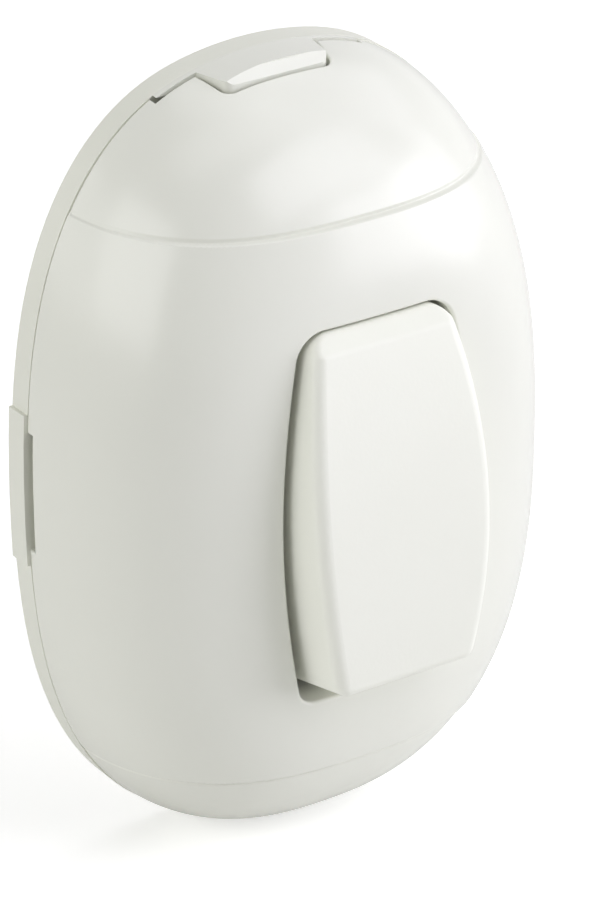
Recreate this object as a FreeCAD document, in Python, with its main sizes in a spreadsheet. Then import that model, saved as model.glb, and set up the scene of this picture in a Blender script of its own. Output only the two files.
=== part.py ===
import FreeCAD, Part
import math
import os
import re

import Sketcher
from FreeCAD import Placement, Rotation, Vector

# Surface-mounted doorbell push. The wall is the plane Y = 0, +Y runs into the wall,
# +X is to the right as seen from the front and +Z is up. Depths below are counted
# from the wall towards the person who rings, which is along -Y. Millimetres.

SIZES = {
    # outline of the housing, a superellipse
    "half_height": 35.0,
    "half_width": 23.35,
    "outline_power": 2.5,
    "overrun": 1.0,
    # back plate
    "plate_thick": 2.4,
    "spigot_wall": 1.2,
    "spigot_rise": 2.2,
    "spigot_gap": 0.5,
    "fixing_spacing": 52.0,
    "fixing_radius": 2.1,
    "fixing_head_radius": 4.0,
    "fixing_head_depth": 1.4,
    "window_height": 17.6,
    "window_width": 10.0,
    "window_tall": 6.4,
    "pad_low": 6.1,
    "pad_high": 7.7,
    "pad_proud": 0.32,
    "pad_bow": 150.0,
    "gate_deep": 12.0,
    # cover
    "cover_depth": 19.7,
    "cover_wall": 1.8,
    "side_power": 4.1,
    "crown_power": 1.8,
    "band_half": 24.8,
    "band_step": 0.38,
    "cap_inset": 0.08,
    "pry_low": 4.6,
    "pry_high": 6.1,
    "pry_rise": 0.75,
    "pry_deep": 5.0,
    "cavity_under": 0.5,
    "entry_deep": 8.0,
    "mouth_side_gap": 0.75,
    "mouth_top_gap": 0.42,
    "mouth_bottom_gap": 1.5,
    "mouth_side_radius": 70.0,
    "mouth_top_corner": 2.8,
    "mouth_bottom_corner": 1.6,
    "collar_wall": 1.1,
    "collar_depth": 13.0,
    "rib_radius": 0.6,
    "rib_proud": 0.35,
    "rib_rise": 5.0,
    "rib_height": 14.0,
    # cable entry blank at the top
    "blank_middle": -1.1,
    "blank_root_half": 5.6,
    "blank_tip_half": 4.9,
    "blank_rise": 4.3,
    "blank_corner": 0.9,
    "blank_lip": 0.8,
    "shoulder_half": 10.2,
    "shoulder_rise": 0.6,
    "blank_thick": 2.0,
    "blank_gap": 0.25,
    "blank_peg_half": 3.5,
    "blank_peg_deep": 1.4,
    "blank_peg_gap": 0.1,
    # push button and the rocker that carries it
    "pivot_depth": 12.0,
    "button_tilt": 6.67,
    "face_rise": 10.3,
    "face_crown": 1.5,
    "face_thick": 1.2,
    "button_half": 8.5,
    "button_side_radius": 66.0,
    "button_top": 15.85,
    "button_bottom": 15.4,
    "button_flare": 0.9,
    "button_wall": 1.4,
    "button_skirt": 2.2,
    "button_bevel": 1.3,
    "button_round": 1.0,
    "ridge_round": 0.8,
    "button_top_corner": 2.3,
    "button_bottom_corner": 1.2,
    "rocker_side_gap": 1.5,
    "rocker_end_gap": 1.2,
    "rocker_thick": 1.6,
    "ear_thick": 1.5,
    "ear_radius": 2.4,
    "pin_radius": 1.0,
    "pin_over": 0.6,
    "pin_fit": 0.05,
    "nose_half": 1.6,
    "nose_gap": 0.2,
    "nose_thick": 1.6,
    "nose_root": 3.4,
    "stop_far": 8.4,
    "stop_thick": 1.8,
    "stop_half": 2.0,
    "stop_gap": 0.1,
    # contact block
    "block_thick": 2.6,
    "block_gap": 2.35,
    "bar_low": 15.4,
    "bar_high": 6.4,
    "core_half": 8.0,
    "core_high": 9.4,
    "post_gap": 0.3,
    "post_thick": 1.8,
    "post_radius": 2.3,
    "block_screw_x": 5.5,
    "block_screw_z": 6.4,
    "block_screw_radius": 1.25,
    "block_screw_head": 2.3,
    "block_screw_head_rise": 1.4,
    "block_screw_deep": 4.2,
    "block_screw_gap": 0.15,
    "pilot_over": 0.2,
    # contacts and terminals
    "terminal_margin": 3.9,
    "contact_z": 11.6,
    "strip_wide": 3.6,
    "strip_margin": 0.9,
    "strip_reach": 1.6,
    "fixed_thick": 0.5,
    "leaf_thick": 0.3,
    "leaf_rise": 2.7,
    "leaf_flat": 3.4,
    "leaf_slope": 3.6,
    "tip_radius": 1.25,
    "tip_rise": 0.6,
    "insert_radius": 2.6,
    "insert_long": 2.1,
    "washer_half": 3.1,
    "washer_thick": 0.6,
    "screw_radius": 1.5,
    "screw_gap": 0.2,
    "screw_long": 3.4,
    "screw_head_radius": 2.7,
    "screw_head_rise": 1.9,
    "driver_slot_wide": 0.8,
    "driver_slot_deep": 0.9,
    # return spring
    "spring_z": 6.2,
    "spring_radius": 2.1,
    "spring_wire": 0.5,
    "spring_turns": 4.25,
    "spring_gap": 0.3,
    "cup_wall": 0.8,
    "cup_rise": 2.0,
    "cup_gap": 0.3,
    "seat_drop": 2.0,
}

document = FreeCAD.newDocument("bell_push")
sheet = document.addObject("Spreadsheet::Sheet", "sizes")
for row, (alias, number) in enumerate(SIZES.items(), start=1):
    sheet.set(f"A{row}", alias.replace("_", " "))
    sheet.set(f"B{row}", str(number))
    sheet.setAlias(f"B{row}", alias)
document.recompute()

FRONT = Vector(0, -1, 0)
nodes = []

# Sizes that follow from others, as formulas of the sheet
MOUTH_RISE = "(cover_depth - pivot_depth) * sin(button_tilt)"
MOUTH_HALF = "(button_half + mouth_side_gap)"
MOUTH_TOP = f"(button_top * cos(button_tilt) + {MOUTH_RISE} + mouth_top_gap)"
BUTTON_LOW = "(button_bottom + button_flare)"
CROWN_RADIUS = "((button_bottom ^ 2 + face_crown ^ 2) / (2 * face_crown))"
CROWN_MIDDLE = f"({CROWN_RADIUS} - face_rise - face_crown)"
MOUTH_BOTTOM = f"({BUTTON_LOW} * cos(button_tilt) - {MOUTH_RISE} + mouth_bottom_gap)"
ROCKER_HALF = "(button_half - button_wall - rocker_side_gap)"
ROCKER_LONG = "(button_bottom - button_wall - rocker_end_gap)"
POST_MIDDLE = f"({ROCKER_HALF} - ear_thick - post_gap - post_thick / 2)"
SPIGOT_INSET = "(cover_wall + spigot_gap)"
BLOCK_HALF = f"(half_width - {SPIGOT_INSET} - spigot_wall - block_gap)"
BLOCK_TOP = "(plate_thick + block_thick)"
TERMINAL = f"({BLOCK_HALF} - terminal_margin)"
STRIP_END = f"({BLOCK_HALF} - strip_margin)"


def size(alias):
    """The number that the sheet holds under an alias."""
    return float(getattr(sheet, alias))


def formula(words):
    """A formula written with bare aliases, with each alias pointed at the sheet."""
    return re.sub(r"[a-z_]+", lambda m: f"sizes.{m[0]}" if m[0] in SIZES else m[0], words)


def value(words):
    return float(sheet.evalExpression(formula(words)))


def bind(target, name, words):
    target.setExpression(name, formula(words))


def node(target, name):
    """Marks a finished piece as a node with a name of its own."""
    target.Label = name
    nodes.append(target)
    return target


# Sketches, features and picks that several pieces use


def new_body(name):
    return document.addObject("PartDesign::Body", name + "_body")


def sketch_on(body, name, role="XZ_Plane", offset="0"):
    """A sketch on one of the body's own origin planes, moved along its normal.

    On XZ_Plane the sketch's x is X, its y is Z, and its normal points to the front.
    On YZ_Plane the sketch's x is Y, its y is Z, and its normal points to the right.
    """
    sketch = body.newObject("Sketcher::SketchObject", name)
    plane = next(item for item in body.Origin.OriginFeatures if item.Role == role)
    sketch.AttachmentSupport = [(plane, "")]
    sketch.MapMode = "FlatFace"
    bind(sketch, "AttachmentOffset.Base.z", offset)
    return sketch


def dimension(sketch, name, words, kind, *details):
    """A named dimension that follows the sheet. A length below zero is turned round."""
    amount = value(words)
    if kind in ("DistanceX", "DistanceY") and amount < 0:
        details = details[2:] + details[:2]
        amount = -amount
        words = f"0 - ({words})"
    index = sketch.addConstraint(Sketcher.Constraint(kind, *details, amount))
    sketch.renameConstraint(index, name)
    bind(sketch, f"Constraints.{name}", words)


def add_loop(sketch, points):
    """A closed run of lines through the points, joined end to end."""
    first = sketch.GeometryCount
    count = len(points)
    for start, end in zip(points, points[1:] + points[:1]):
        sketch.addGeometry(Part.LineSegment(Vector(*start, 0), Vector(*end, 0)))
    for step in range(count):
        after = first + (step + 1) % count
        sketch.addConstraint(Sketcher.Constraint("Coincident", first + step, 2, after, 1))
    return first


def add_polygon(sketch, label, corners):
    """A closed run of lines whose corners each follow two formulas."""
    first = add_loop(sketch, [(value(x), value(y)) for x, y in corners])
    for step, (x, y) in enumerate(corners):
        place_point(sketch, f"{label}_{step}", first + step, 1, x, y)


def place_point(sketch, name, geometry, end, x, y):
    """Fixes a point of a sketch at two formulas counted from the sketch's origin."""
    if value(x) == 0:
        sketch.addConstraint(Sketcher.Constraint("PointOnObject", geometry, end, -2))
    else:
        dimension(sketch, f"{name}_x", x, "DistanceX", -1, 1, geometry, end)
    if value(y) == 0:
        sketch.addConstraint(Sketcher.Constraint("PointOnObject", geometry, end, -1))
    else:
        dimension(sketch, f"{name}_y", y, "DistanceY", -1, 1, geometry, end)


def add_rectangle(sketch, label, left, right, low, high):
    add_polygon(sketch, label, [(left, low), (right, low), (right, high), (left, high)])


def add_circle(sketch, name, radius, x="0", y="0"):
    centre = Vector(value(x), value(y), 0)
    first = sketch.addGeometry(Part.Circle(centre, Vector(0, 0, 1), value(radius)))
    place_point(sketch, name, first, 3, x, y)
    dimension(sketch, f"{name}_radius", radius, "Radius", first)


def add_barrel(sketch, half, side_radius, low, high):
    """A closed outline with level ends and two bulging sides, widest at z = 0."""
    wide, radius = value(half), value(side_radius)
    bottom, top = value(low), value(high)
    inset = wide - radius

    def side(z):
        return inset + math.sqrt(radius**2 - z**2)

    def arc(centre_x, start, end):
        circle = Part.Circle(Vector(centre_x, 0, 0), Vector(0, 0, 1), radius)
        return Part.ArcOfCircle(circle, start, end)

    fall, rise = math.asin(bottom / radius), math.asin(top / radius)
    low_line = Part.LineSegment(Vector(-side(bottom), bottom, 0), Vector(side(bottom), bottom, 0))
    high_line = Part.LineSegment(Vector(side(top), top, 0), Vector(-side(top), top, 0))
    floor = sketch.addGeometry(low_line)
    right = sketch.addGeometry(arc(inset, fall, rise))
    roof = sketch.addGeometry(high_line)
    left = sketch.addGeometry(arc(-inset, math.pi - rise, math.pi - fall))
    for pair in (
        (floor, 2, right, 1),
        (right, 2, roof, 1),
        (roof, 2, left, 1),
        (left, 2, floor, 1),
    ):
        sketch.addConstraint(Sketcher.Constraint("Coincident", *pair))
    sketch.addConstraint(Sketcher.Constraint("Symmetric", floor, 1, floor, 2, -2))
    sketch.addConstraint(Sketcher.Constraint("Symmetric", roof, 1, roof, 2, -2))
    sketch.addConstraint(Sketcher.Constraint("PointOnObject", right, 3, -1))
    sketch.addConstraint(Sketcher.Constraint("Equal", right, left))
    dimension(sketch, "side_radius", side_radius, "Radius", right)
    dimension(sketch, "centre", f"({half}) - ({side_radius})", "DistanceX", -1, 1, right, 3)
    dimension(sketch, "low", low, "DistanceY", -1, 1, floor, 1)
    dimension(sketch, "high", high, "DistanceY", -1, 1, roof, 1)


def add_crown(sketch, reach):
    """The region in front of the button's crowned face, seen from the side.

    The face is an arc through its middle and through a point level with the button's
    bottom edge, carried on to a reach above and below.
    """
    radius, far, centre = value(CROWN_RADIUS), value(reach), value(CROWN_MIDDLE)
    lean = math.asin(far / radius)
    clear = "0 - face_rise - face_crown - overrun"
    front = value(clear)
    low = Vector(centre - radius * math.cos(lean), -far, 0)
    high = Vector(low.x, far, 0)
    circle = Part.Circle(Vector(centre, 0, 0), Vector(0, 0, 1), radius)
    sketch.addGeometry(Part.ArcOfCircle(circle, math.pi - lean, math.pi + lean))
    for start, end in (
        (low, Vector(front, -far, 0)),
        (Vector(front, -far, 0), Vector(front, far, 0)),
        (Vector(front, far, 0), high),
    ):
        sketch.addGeometry(Part.LineSegment(start, end))
    for pair in ((0, 2, 1, 1), (1, 2, 2, 1), (2, 2, 3, 1), (3, 2, 0, 1)):
        sketch.addConstraint(Sketcher.Constraint("Coincident", *pair))
    sketch.addConstraint(Sketcher.Constraint("PointOnObject", 0, 3, -1))
    sketch.addConstraint(Sketcher.Constraint("Horizontal", 1))
    sketch.addConstraint(Sketcher.Constraint("Vertical", 2))
    sketch.addConstraint(Sketcher.Constraint("Horizontal", 3))
    dimension(sketch, "radius", CROWN_RADIUS, "Radius", 0)
    dimension(sketch, "centre", CROWN_MIDDLE, "DistanceX", -1, 1, 0, 3)
    dimension(sketch, "front", clear, "DistanceX", -1, 1, 1, 2)
    dimension(sketch, "high", reach, "DistanceY", -1, 1, 2, 2)
    dimension(sketch, "low", f"0 - {reach}", "DistanceY", -1, 1, 1, 2)


def add_tongue(sketch, radius, root):
    """An outline with a round end about the sketch's origin and a straight root.

    The root lies at its own distance along the sketch's x, either way from the origin.
    """
    reach, far = value(radius), value(root)
    way = math.copysign(1, far)
    start = way * math.pi / 2
    circle = Part.Circle(Vector(0, 0, 0), Vector(0, 0, 1), reach)
    sketch.addGeometry(Part.ArcOfCircle(circle, start, start + math.pi))
    corners = [(0, -way * reach), (far, -way * reach), (far, way * reach), (0, way * reach)]
    for begin, end in zip(corners, corners[1:]):
        sketch.addGeometry(Part.LineSegment(Vector(*begin, 0), Vector(*end, 0)))
    for pair in ((0, 2, 1, 1), (1, 2, 2, 1), (2, 2, 3, 1), (3, 2, 0, 1)):
        sketch.addConstraint(Sketcher.Constraint("Coincident", *pair))
    sketch.addConstraint(Sketcher.Constraint("Coincident", 0, 3, -1, 1))
    sketch.addConstraint(Sketcher.Constraint("PointOnObject", 0, 2, -2))
    sketch.addConstraint(Sketcher.Constraint("PointOnObject", 0, 1, -2))
    sketch.addConstraint(Sketcher.Constraint("Horizontal", 1))
    sketch.addConstraint(Sketcher.Constraint("Vertical", 2))
    sketch.addConstraint(Sketcher.Constraint("Horizontal", 3))
    dimension(sketch, "radius", radius, "Radius", 0)
    dimension(sketch, "root", root, "DistanceX", -1, 1, 1, 2)


def outline_curve(half_width, half_height):
    """A closed superellipse in the sketch's plane, through points from its formula."""
    bend = 2.0 / size("outline_power")
    steps = 24
    points = []
    for step in range(steps):
        angle = 2 * math.pi * (step + 0.5) / steps
        across = math.copysign(abs(math.cos(angle)) ** bend, math.cos(angle))
        along = math.copysign(abs(math.sin(angle)) ** bend, math.sin(angle))
        points.append(Vector(half_width * across, half_height * along, 0))
    curve = Part.BSplineCurve()
    curve.interpolate(points, PeriodicFlag=True)
    return curve


def outline_sketch(body, name, inset, offset):
    """The housing's outline drawn smaller by an inset, at a depth from the wall."""
    sketch = sketch_on(body, name, offset=offset)
    less = value(inset)
    sketch.addGeometry(outline_curve(size("half_width") - less, size("half_height") - less))
    return sketch


def pad(body, name, sketch, length, backwards=False, midplane=False):
    feature = body.newObject("PartDesign::Pad", name)
    feature.Profile = sketch
    bind(feature, "Length", length)
    feature.Reversed = backwards
    feature.Midplane = midplane
    return feature


def pocket(body, name, sketch, length, backwards=False, midplane=False):
    """Cuts a sketch out of the body, and makes sure that it really takes material."""
    document.recompute()
    before = body.Shape.Volume
    feature = body.newObject("PartDesign::Pocket", name)
    feature.Profile = sketch
    bind(feature, "Length", length)
    feature.Reversed = backwards
    feature.Midplane = midplane
    document.recompute()
    if feature.Shape.isNull() or feature.Shape.Volume >= before:
        raise RuntimeError(f"{name} cuts nothing")
    return feature


def edges_of(shape, wanted):
    """Names of the edges that a test on the edge picks out."""
    return [f"Edge{i}" for i, edge in enumerate(shape.Edges, start=1) if wanted(edge)]


def round_edges(body, name, radius, wanted):
    """Rounds the edges of the body's last feature that a test picks out."""
    document.recompute()
    tip = body.Tip
    picked = edges_of(tip.Shape, wanted)
    if not picked:
        raise RuntimeError(f"{name} finds no edge")
    feature = body.newObject("PartDesign::Fillet", name)
    feature.Base = (tip, picked)
    bind(feature, "Radius", radius)
    document.recompute()
    return feature


def runs_front(edge):
    """True for a straight edge square to the wall."""
    if not isinstance(edge.Curve, Part.Line):
        return False
    start, end = edge.Vertexes[0].Point, edge.Vertexes[1].Point
    return (end - start).cross(FRONT).Length < 1e-6 * edge.Length


def runs_up(edge):
    """True for a straight upright edge."""
    if not isinstance(edge.Curve, Part.Line):
        return False
    start, end = edge.Vertexes[0].Point, edge.Vertexes[1].Point
    return (end - start).cross(Vector(0, 0, 1)).Length < 1e-6 * edge.Length


def lies_on(axis_y, radius):
    """A test for edges on the round surface about an axis along X at one Y and z = 0."""
    return lambda edge: all(
        abs(math.hypot(point.y - axis_y, point.z) - radius) < 1e-4 for point in edge_points(edge)
    )


def edge_points(edge):
    first, last = edge.ParameterRange
    return [edge.valueAt(first + (last - first) * share) for share in (0, 0.5, 1)]


def placed(target, x="0", y="0", z="0", rotation=Rotation()):
    target.Placement = Placement(Vector(value(x), value(y), value(z)), rotation)
    bind(target, "Placement.Base.x", x)
    bind(target, "Placement.Base.y", y)
    bind(target, "Placement.Base.z", z)
    return target


def cylinder(name, radius, height, x="0", depth="0", z="0"):
    """A round bar that starts at a depth from the wall and runs to the front."""
    bar = document.addObject("Part::Cylinder", name)
    bind(bar, "Radius", radius)
    bind(bar, "Height", height)
    return placed(bar, x, f"0 - ({depth})", z, Rotation(Vector(1, 0, 0), 90))


def block(name, left, right, near, far, low, high):
    """A box between two values across, two depths from the wall and two heights."""
    box = document.addObject("Part::Box", name)
    bind(box, "Length", f"({right}) - ({left})")
    bind(box, "Width", f"({far}) - ({near})")
    bind(box, "Height", f"({high}) - ({low})")
    return placed(box, left, f"0 - ({far})", low)


def cut(name, base, *tools):
    feature = document.addObject("Part::Cut", name)
    feature.Base = base
    feature.Tool = tools[0] if len(tools) == 1 else fuse(name + "_tools", *tools)
    return feature


def fuse(name, *shapes):
    feature = document.addObject("Part::MultiFuse", name)
    feature.Shapes = list(shapes)
    return feature


def common(name, *shapes):
    feature = document.addObject("Part::MultiCommon", name)
    feature.Shapes = list(shapes)
    return feature


def mirrored(name, source):
    """The same piece on the other side of the plane X = 0."""
    feature = document.addObject("Part::Mirroring", name)
    feature.Source = source
    feature.Normal = Vector(1, 0, 0)
    return feature


def group(name, *pieces):
    feature = document.addObject("Part::Compound", name)
    feature.Links = list(pieces)
    return feature


# The housing: back plate, cover and the blank in its cable entry


def back_plate():
    """Flat plate with a rim, a spigot that locates the cover and holes for the wall."""
    body = new_body("back_plate")
    pad(body, "plate", outline_sketch(body, "plate_outline", "0", "0"), "plate_thick")
    spigot = outline_sketch(body, "spigot_outline", SPIGOT_INSET, "plate_thick")
    inner = value(f"{SPIGOT_INSET} + spigot_wall")
    spigot.addGeometry(outline_curve(size("half_width") - inner, size("half_height") - inner))
    pad(body, "spigot", spigot, "spigot_rise")

    gate = sketch_on(body, "gate_profile", offset="plate_thick + spigot_rise")
    add_rectangle(
        gate,
        "top",
        "blank_middle - blank_root_half - overrun",
        "blank_middle + blank_root_half + overrun",
        "half_height - gate_deep",
        "half_height",
    )
    pocket(body, "cable_gate", gate, "spigot_rise")

    latch = sketch_on(body, "latch_profile")
    add_barrel(latch, "half_width + pad_proud", "pad_bow", "0 - pad_low", "pad_high")
    pad(body, "latch_pads", latch, "plate_thick")

    holes = sketch_on(body, "fixing_holes", offset="plate_thick")
    for name, side in (("upper", "1"), ("lower", "-1")):
        add_circle(holes, name, "fixing_radius", y=f"fixing_spacing / 2 * {side}")
    pocket(body, "fixing", holes, "plate_thick + overrun")
    for name, side in (("upper", "1"), ("lower", "-1")):
        sink = body.newObject("PartDesign::SubtractiveCone", f"{name}_sink")
        bind(sink, "Radius1", "fixing_head_radius")
        bind(sink, "Radius2", "fixing_radius")
        bind(sink, "Height", "fixing_head_depth")
        support = next(o for o in body.Origin.OriginFeatures if o.Role == "XZ_Plane")
        sink.AttachmentSupport = [(support, "")]
        sink.MapMode = "FlatFace"
        sink.AttachmentOffset = Placement(Vector(0, 0, 0), Rotation(Vector(1, 0, 0), 180))
        bind(sink, "AttachmentOffset.Base.z", "plate_thick")
        bind(sink, "AttachmentOffset.Base.y", f"fixing_spacing / 2 * {side}")
        document.recompute()

    window = sketch_on(body, "window_outline", offset="plate_thick")
    add_rectangle(
        window,
        "window",
        "0 - window_width / 2",
        "window_width / 2",
        "window_height - window_tall / 2",
        "window_height + window_tall / 2",
    )
    pocket(body, "cable_window", window, "plate_thick + overrun")
    height, tall = value("window_height"), value("window_tall")
    round_edges(
        body,
        "window_corners",
        "window_tall / 4",
        lambda edge: runs_front(edge)
        and abs(edge.CenterOfMass.z - height) < tall
        and abs(edge.CenterOfMass.x) < size("window_width"),
    )

    seat = sketch_on(body, "peg_seat", offset="plate_thick")
    add_rectangle(
        seat,
        "seat",
        "blank_middle - blank_peg_half - blank_peg_gap",
        "blank_middle + blank_peg_half + blank_peg_gap",
        f"half_height - {SPIGOT_INSET} - spigot_wall - blank_peg_gap",
        "half_height - cover_wall + blank_peg_gap",
    )
    pocket(body, "blank_seat", seat, "blank_peg_deep + blank_peg_gap")
    pilot = sketch_on(body, "pilot_holes", offset="plate_thick")
    for name, side in (("right", "1"), ("left", "-1")):
        add_circle(pilot, name, "block_screw_radius", f"block_screw_x * {side}", "block_screw_z")
    pocket(body, "pilots", pilot, "block_screw_deep - block_thick + pilot_over")
    node(body, "back_plate")


def dome(name, inset, crown, start):
    """A solid dome: lofted outlines that shrink towards the crown.

    The outline's share r of its full size and the height's share h of its full rise
    follow r ** side_power + h ** crown_power = 1.
    """
    sections = []
    for step, angle in enumerate((0, 15, 30, 44, 57, 68, 77, 83.5)):
        rise = math.sin(math.radians(angle)) ** (2 / size("crown_power"))
        share = math.cos(math.radians(angle)) ** (2 / size("side_power"))
        section = document.addObject("Sketcher::SketchObject", f"{name}_{step}")
        half_width = (size("half_width") - value(inset)) * share
        half_height = (size("half_height") - value(inset)) * share
        section.addGeometry(outline_curve(half_width, half_height))
        depth = f"({start}) + (({crown}) - ({start})) * {rise:.6f}"
        placed(section, y=f"0 - ({depth})", rotation=Rotation(Vector(1, 0, 0), 90))
        sections.append(section)
    loft = document.addObject("Part::Loft", name)
    loft.Sections = sections
    loft.Solid = True
    return loft


def cover():
    """Domed shell with a raised middle band, an opening for the button and an entry."""
    band = common(
        "band",
        dome("band_dome", "0", "cover_depth", "plate_thick"),
        block(
            "band_slab",
            "0 - half_width",
            "half_width",
            "0",
            "cover_depth + overrun",
            "0 - band_half",
            "band_half",
        ),
    )
    caps = dome("cap_dome", "cap_inset", "cover_depth - band_step", "plate_thick")
    inside_crown = "cover_depth - band_step - cover_wall"
    cavity = dome("cavity", "cover_wall", inside_crown, "plate_thick - cavity_under")
    mouth = new_body("mouth")
    outline = sketch_on(mouth, "mouth_outline", offset="plate_thick")
    add_barrel(outline, MOUTH_HALF, "mouth_side_radius", f"0 - {MOUTH_BOTTOM}", MOUTH_TOP)
    pad(mouth, "mouth_pad", outline, "cover_depth")
    round_edges(
        mouth,
        "mouth_top_corners",
        "mouth_top_corner",
        lambda edge: runs_front(edge) and edge.CenterOfMass.z > 0,
    )
    round_edges(
        mouth,
        "mouth_bottom_corners",
        "mouth_bottom_corner",
        lambda edge: runs_front(edge) and edge.CenterOfMass.z < 0,
    )
    collar = new_body("collar")
    around = sketch_on(collar, "collar_outline", offset="collar_depth")
    add_barrel(
        around,
        f"{MOUTH_HALF} + collar_wall",
        "mouth_side_radius + collar_wall",
        f"0 - {MOUTH_BOTTOM} - collar_wall",
        f"{MOUTH_TOP} + collar_wall",
    )
    pad(collar, "collar_pad", around, "cover_depth")
    entry = new_body("entry")
    entry_profile(entry, "blank_gap", "half_height - entry_deep", "entry_deep + overrun")
    tools = [mouth, entry]
    for name, left, right in (
        ("pry_right", "half_width - pry_deep", "half_width + overrun"),
        ("pry_left", "0 - half_width - overrun", "pry_deep - half_width"),
    ):
        tools.append(
            block(name, left, right, "0", "plate_thick + pry_rise", "0 - pry_low", "pry_high")
        )
    skin = fuse("cover_skin", caps, band)
    walls = [cut("cover_wall", skin, cavity), common("collar_wall", skin, collar)]
    solid = fuse("cover_solid", *walls, *grip_ribs())
    node(cut("cover_shell", solid, *tools), "cover")


def grip_ribs():
    """Four upright ribs inside the cover's wall that grip the plate's spigot."""
    inside = "(half_width - cover_wall)"
    share = "(1 - (rib_height / (half_height - cover_wall)) ^ outline_power)"
    reach = f"({inside} * {share} ^ (1 / outline_power) - rib_proud + rib_radius)"
    ribs = []
    for side in ("1", "-1"):
        for up in ("1", "-1"):
            name = f"rib_{len(ribs)}"
            x, z = f"{reach} * {side}", f"rib_height * {up}"
            ribs.append(cylinder(name, "rib_radius", "rib_rise", x, "plate_thick", z))
    return ribs


def entry_profile(body, grow, bottom, tall):
    """The stepped outline of the cable entry, seen from above, carried upwards."""
    outline = sketch_on(body, "entry_outline", role="XY_Plane", offset=bottom)
    step = f"0 - plate_thick - shoulder_rise - {grow}"
    tip = f"0 - plate_thick - blank_rise - {grow}"
    right = [
        (f"shoulder_half + {grow}", "0 - plate_thick"),
        (f"shoulder_half + {grow}", step),
        (f"blank_root_half + {grow}", step),
        (f"blank_tip_half + {grow}", tip),
    ]
    corners = [(f"blank_middle + {x}", y) for x, y in right]
    corners += [(f"blank_middle - ({x})", y) for x, y in reversed(right)]
    add_polygon(outline, "entry", corners)
    pad(body, "entry_pad", outline, tall)
    front = value(tip)
    round_edges(
        body,
        "entry_corners",
        f"blank_corner + {grow}",
        lambda edge: runs_up(edge) and abs(edge.CenterOfMass.y - front) < 1e-4,
    )


def cable_entry_blank():
    """Stepped blank that closes the cable entry in the cover's top edge."""
    body = new_body("blank")
    entry_profile(body, "0", "half_height - blank_thick", "blank_thick + overrun")
    peg = sketch_on(body, "peg_profile", offset="plate_thick")
    add_rectangle(
        peg,
        "peg",
        "blank_middle - blank_peg_half",
        "blank_middle + blank_peg_half",
        f"half_height - {SPIGOT_INSET} - spigot_wall",
        "half_height - cover_wall",
    )
    pad(body, "peg", peg, "blank_peg_deep", backwards=True)
    outside = sketch_on(body, "outside_profile", offset="plate_thick")
    frame = value("half_height + 4")
    add_loop(outside, [(-frame, -frame), (frame, -frame), (frame, frame), (-frame, frame)])
    outside.addGeometry(outline_curve(size("half_width"), size("half_height")))
    pocket(body, "outer_face", outside, "blank_rise + overrun", backwards=True)
    lip = sketch_on(body, "lip_profile", role="YZ_Plane")
    top = "0 - plate_thick - blank_rise"
    add_polygon(
        lip,
        "lip",
        [
            (top, "half_height - blank_lip"),
            (top, "half_height + overrun"),
            (f"{top} + blank_lip", "half_height + overrun"),
            (f"{top} + blank_lip", "half_height"),
        ],
    )
    pocket(body, "lip", lip, "shoulder_half * 3", midplane=True)
    node(body, "cable_entry_blank")


# The rocking button


def on_pivot(body):
    """Puts a piece drawn about the pivot, square to its own face, at its rest tilt."""
    tilted = Rotation(Vector(1, 0, 0), -size("button_tilt"))
    placed(body, y="0 - pivot_depth", rotation=tilted)
    bind(body, "Placement.Rotation.Angle", "0 - button_tilt")


def push_button():
    """Hollow cap with a crowned face, bulging sides and a bevel along its top edge."""
    body = new_body("button")
    outline = sketch_on(body, "button_outline", offset="button_skirt")
    add_barrel(outline, "button_half", "button_side_radius", f"0 - {BUTTON_LOW}", "button_top")
    pad(body, "button_block", outline, "face_rise + face_crown - button_skirt")
    crown = sketch_on(body, "crown_profile", role="YZ_Plane")
    add_crown(crown, "button_half * 2")
    pocket(body, "crown", crown, "button_half * 3", midplane=True)
    flare = sketch_on(body, "flare_profile", role="YZ_Plane")
    slant = "button_flare / (face_rise - button_skirt) * overrun"
    add_polygon(
        flare,
        "flare",
        [
            ("overrun - button_skirt", f"0 - {BUTTON_LOW} - {slant}"),
            ("-1 * face_rise - overrun", f"{slant} - button_bottom"),
            ("-1 * face_rise - overrun", f"0 - {BUTTON_LOW} - {slant}"),
        ],
    )
    pocket(body, "lower_slant", flare, "button_half * 3", midplane=True)
    round_edges(
        body,
        "button_top_corners",
        "button_top_corner",
        lambda edge: runs_front(edge) and edge.CenterOfMass.z > 0,
    )
    half_deep = value("(face_rise - button_skirt) / 2")
    round_edges(
        body,
        "button_bottom_corners",
        "button_bottom_corner",
        lambda edge: edge.BoundBox.YLength > half_deep and edge.CenterOfMass.z < 0,
    )
    on_crown = lies_on(value(CROWN_MIDDLE), value(CROWN_RADIUS))
    round_edges(body, "face_edges", "button_round", on_crown)
    slope = sketch_on(body, "slope_profile", role="YZ_Plane")
    add_polygon(
        slope,
        "slope",
        [
            ("-1 * face_rise - overrun", "button_top - button_bevel - overrun"),
            ("-1 * face_rise - overrun", "button_top + overrun"),
            ("button_bevel + overrun - face_rise", "button_top + overrun"),
        ],
    )
    pocket(body, "bevel", slope, "button_half * 3", midplane=True)
    ridge_height, ridge_near = value("button_top - button_bevel"), size("button_bevel") / 2
    round_edges(
        body,
        "ridge",
        "ridge_round",
        lambda edge: on_crown(edge) and abs(edge.CenterOfMass.z - ridge_height) < ridge_near,
    )
    hollow = sketch_on(body, "hollow_outline", offset="button_skirt")
    add_barrel(
        hollow,
        "button_half - button_wall",
        "button_side_radius - button_wall",
        "button_wall - button_bottom",
        "button_top - button_wall",
    )
    pocket(body, "hollow", hollow, "face_rise - face_thick - button_skirt", backwards=True)
    on_pivot(body)
    node(body, "push_button")


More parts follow.
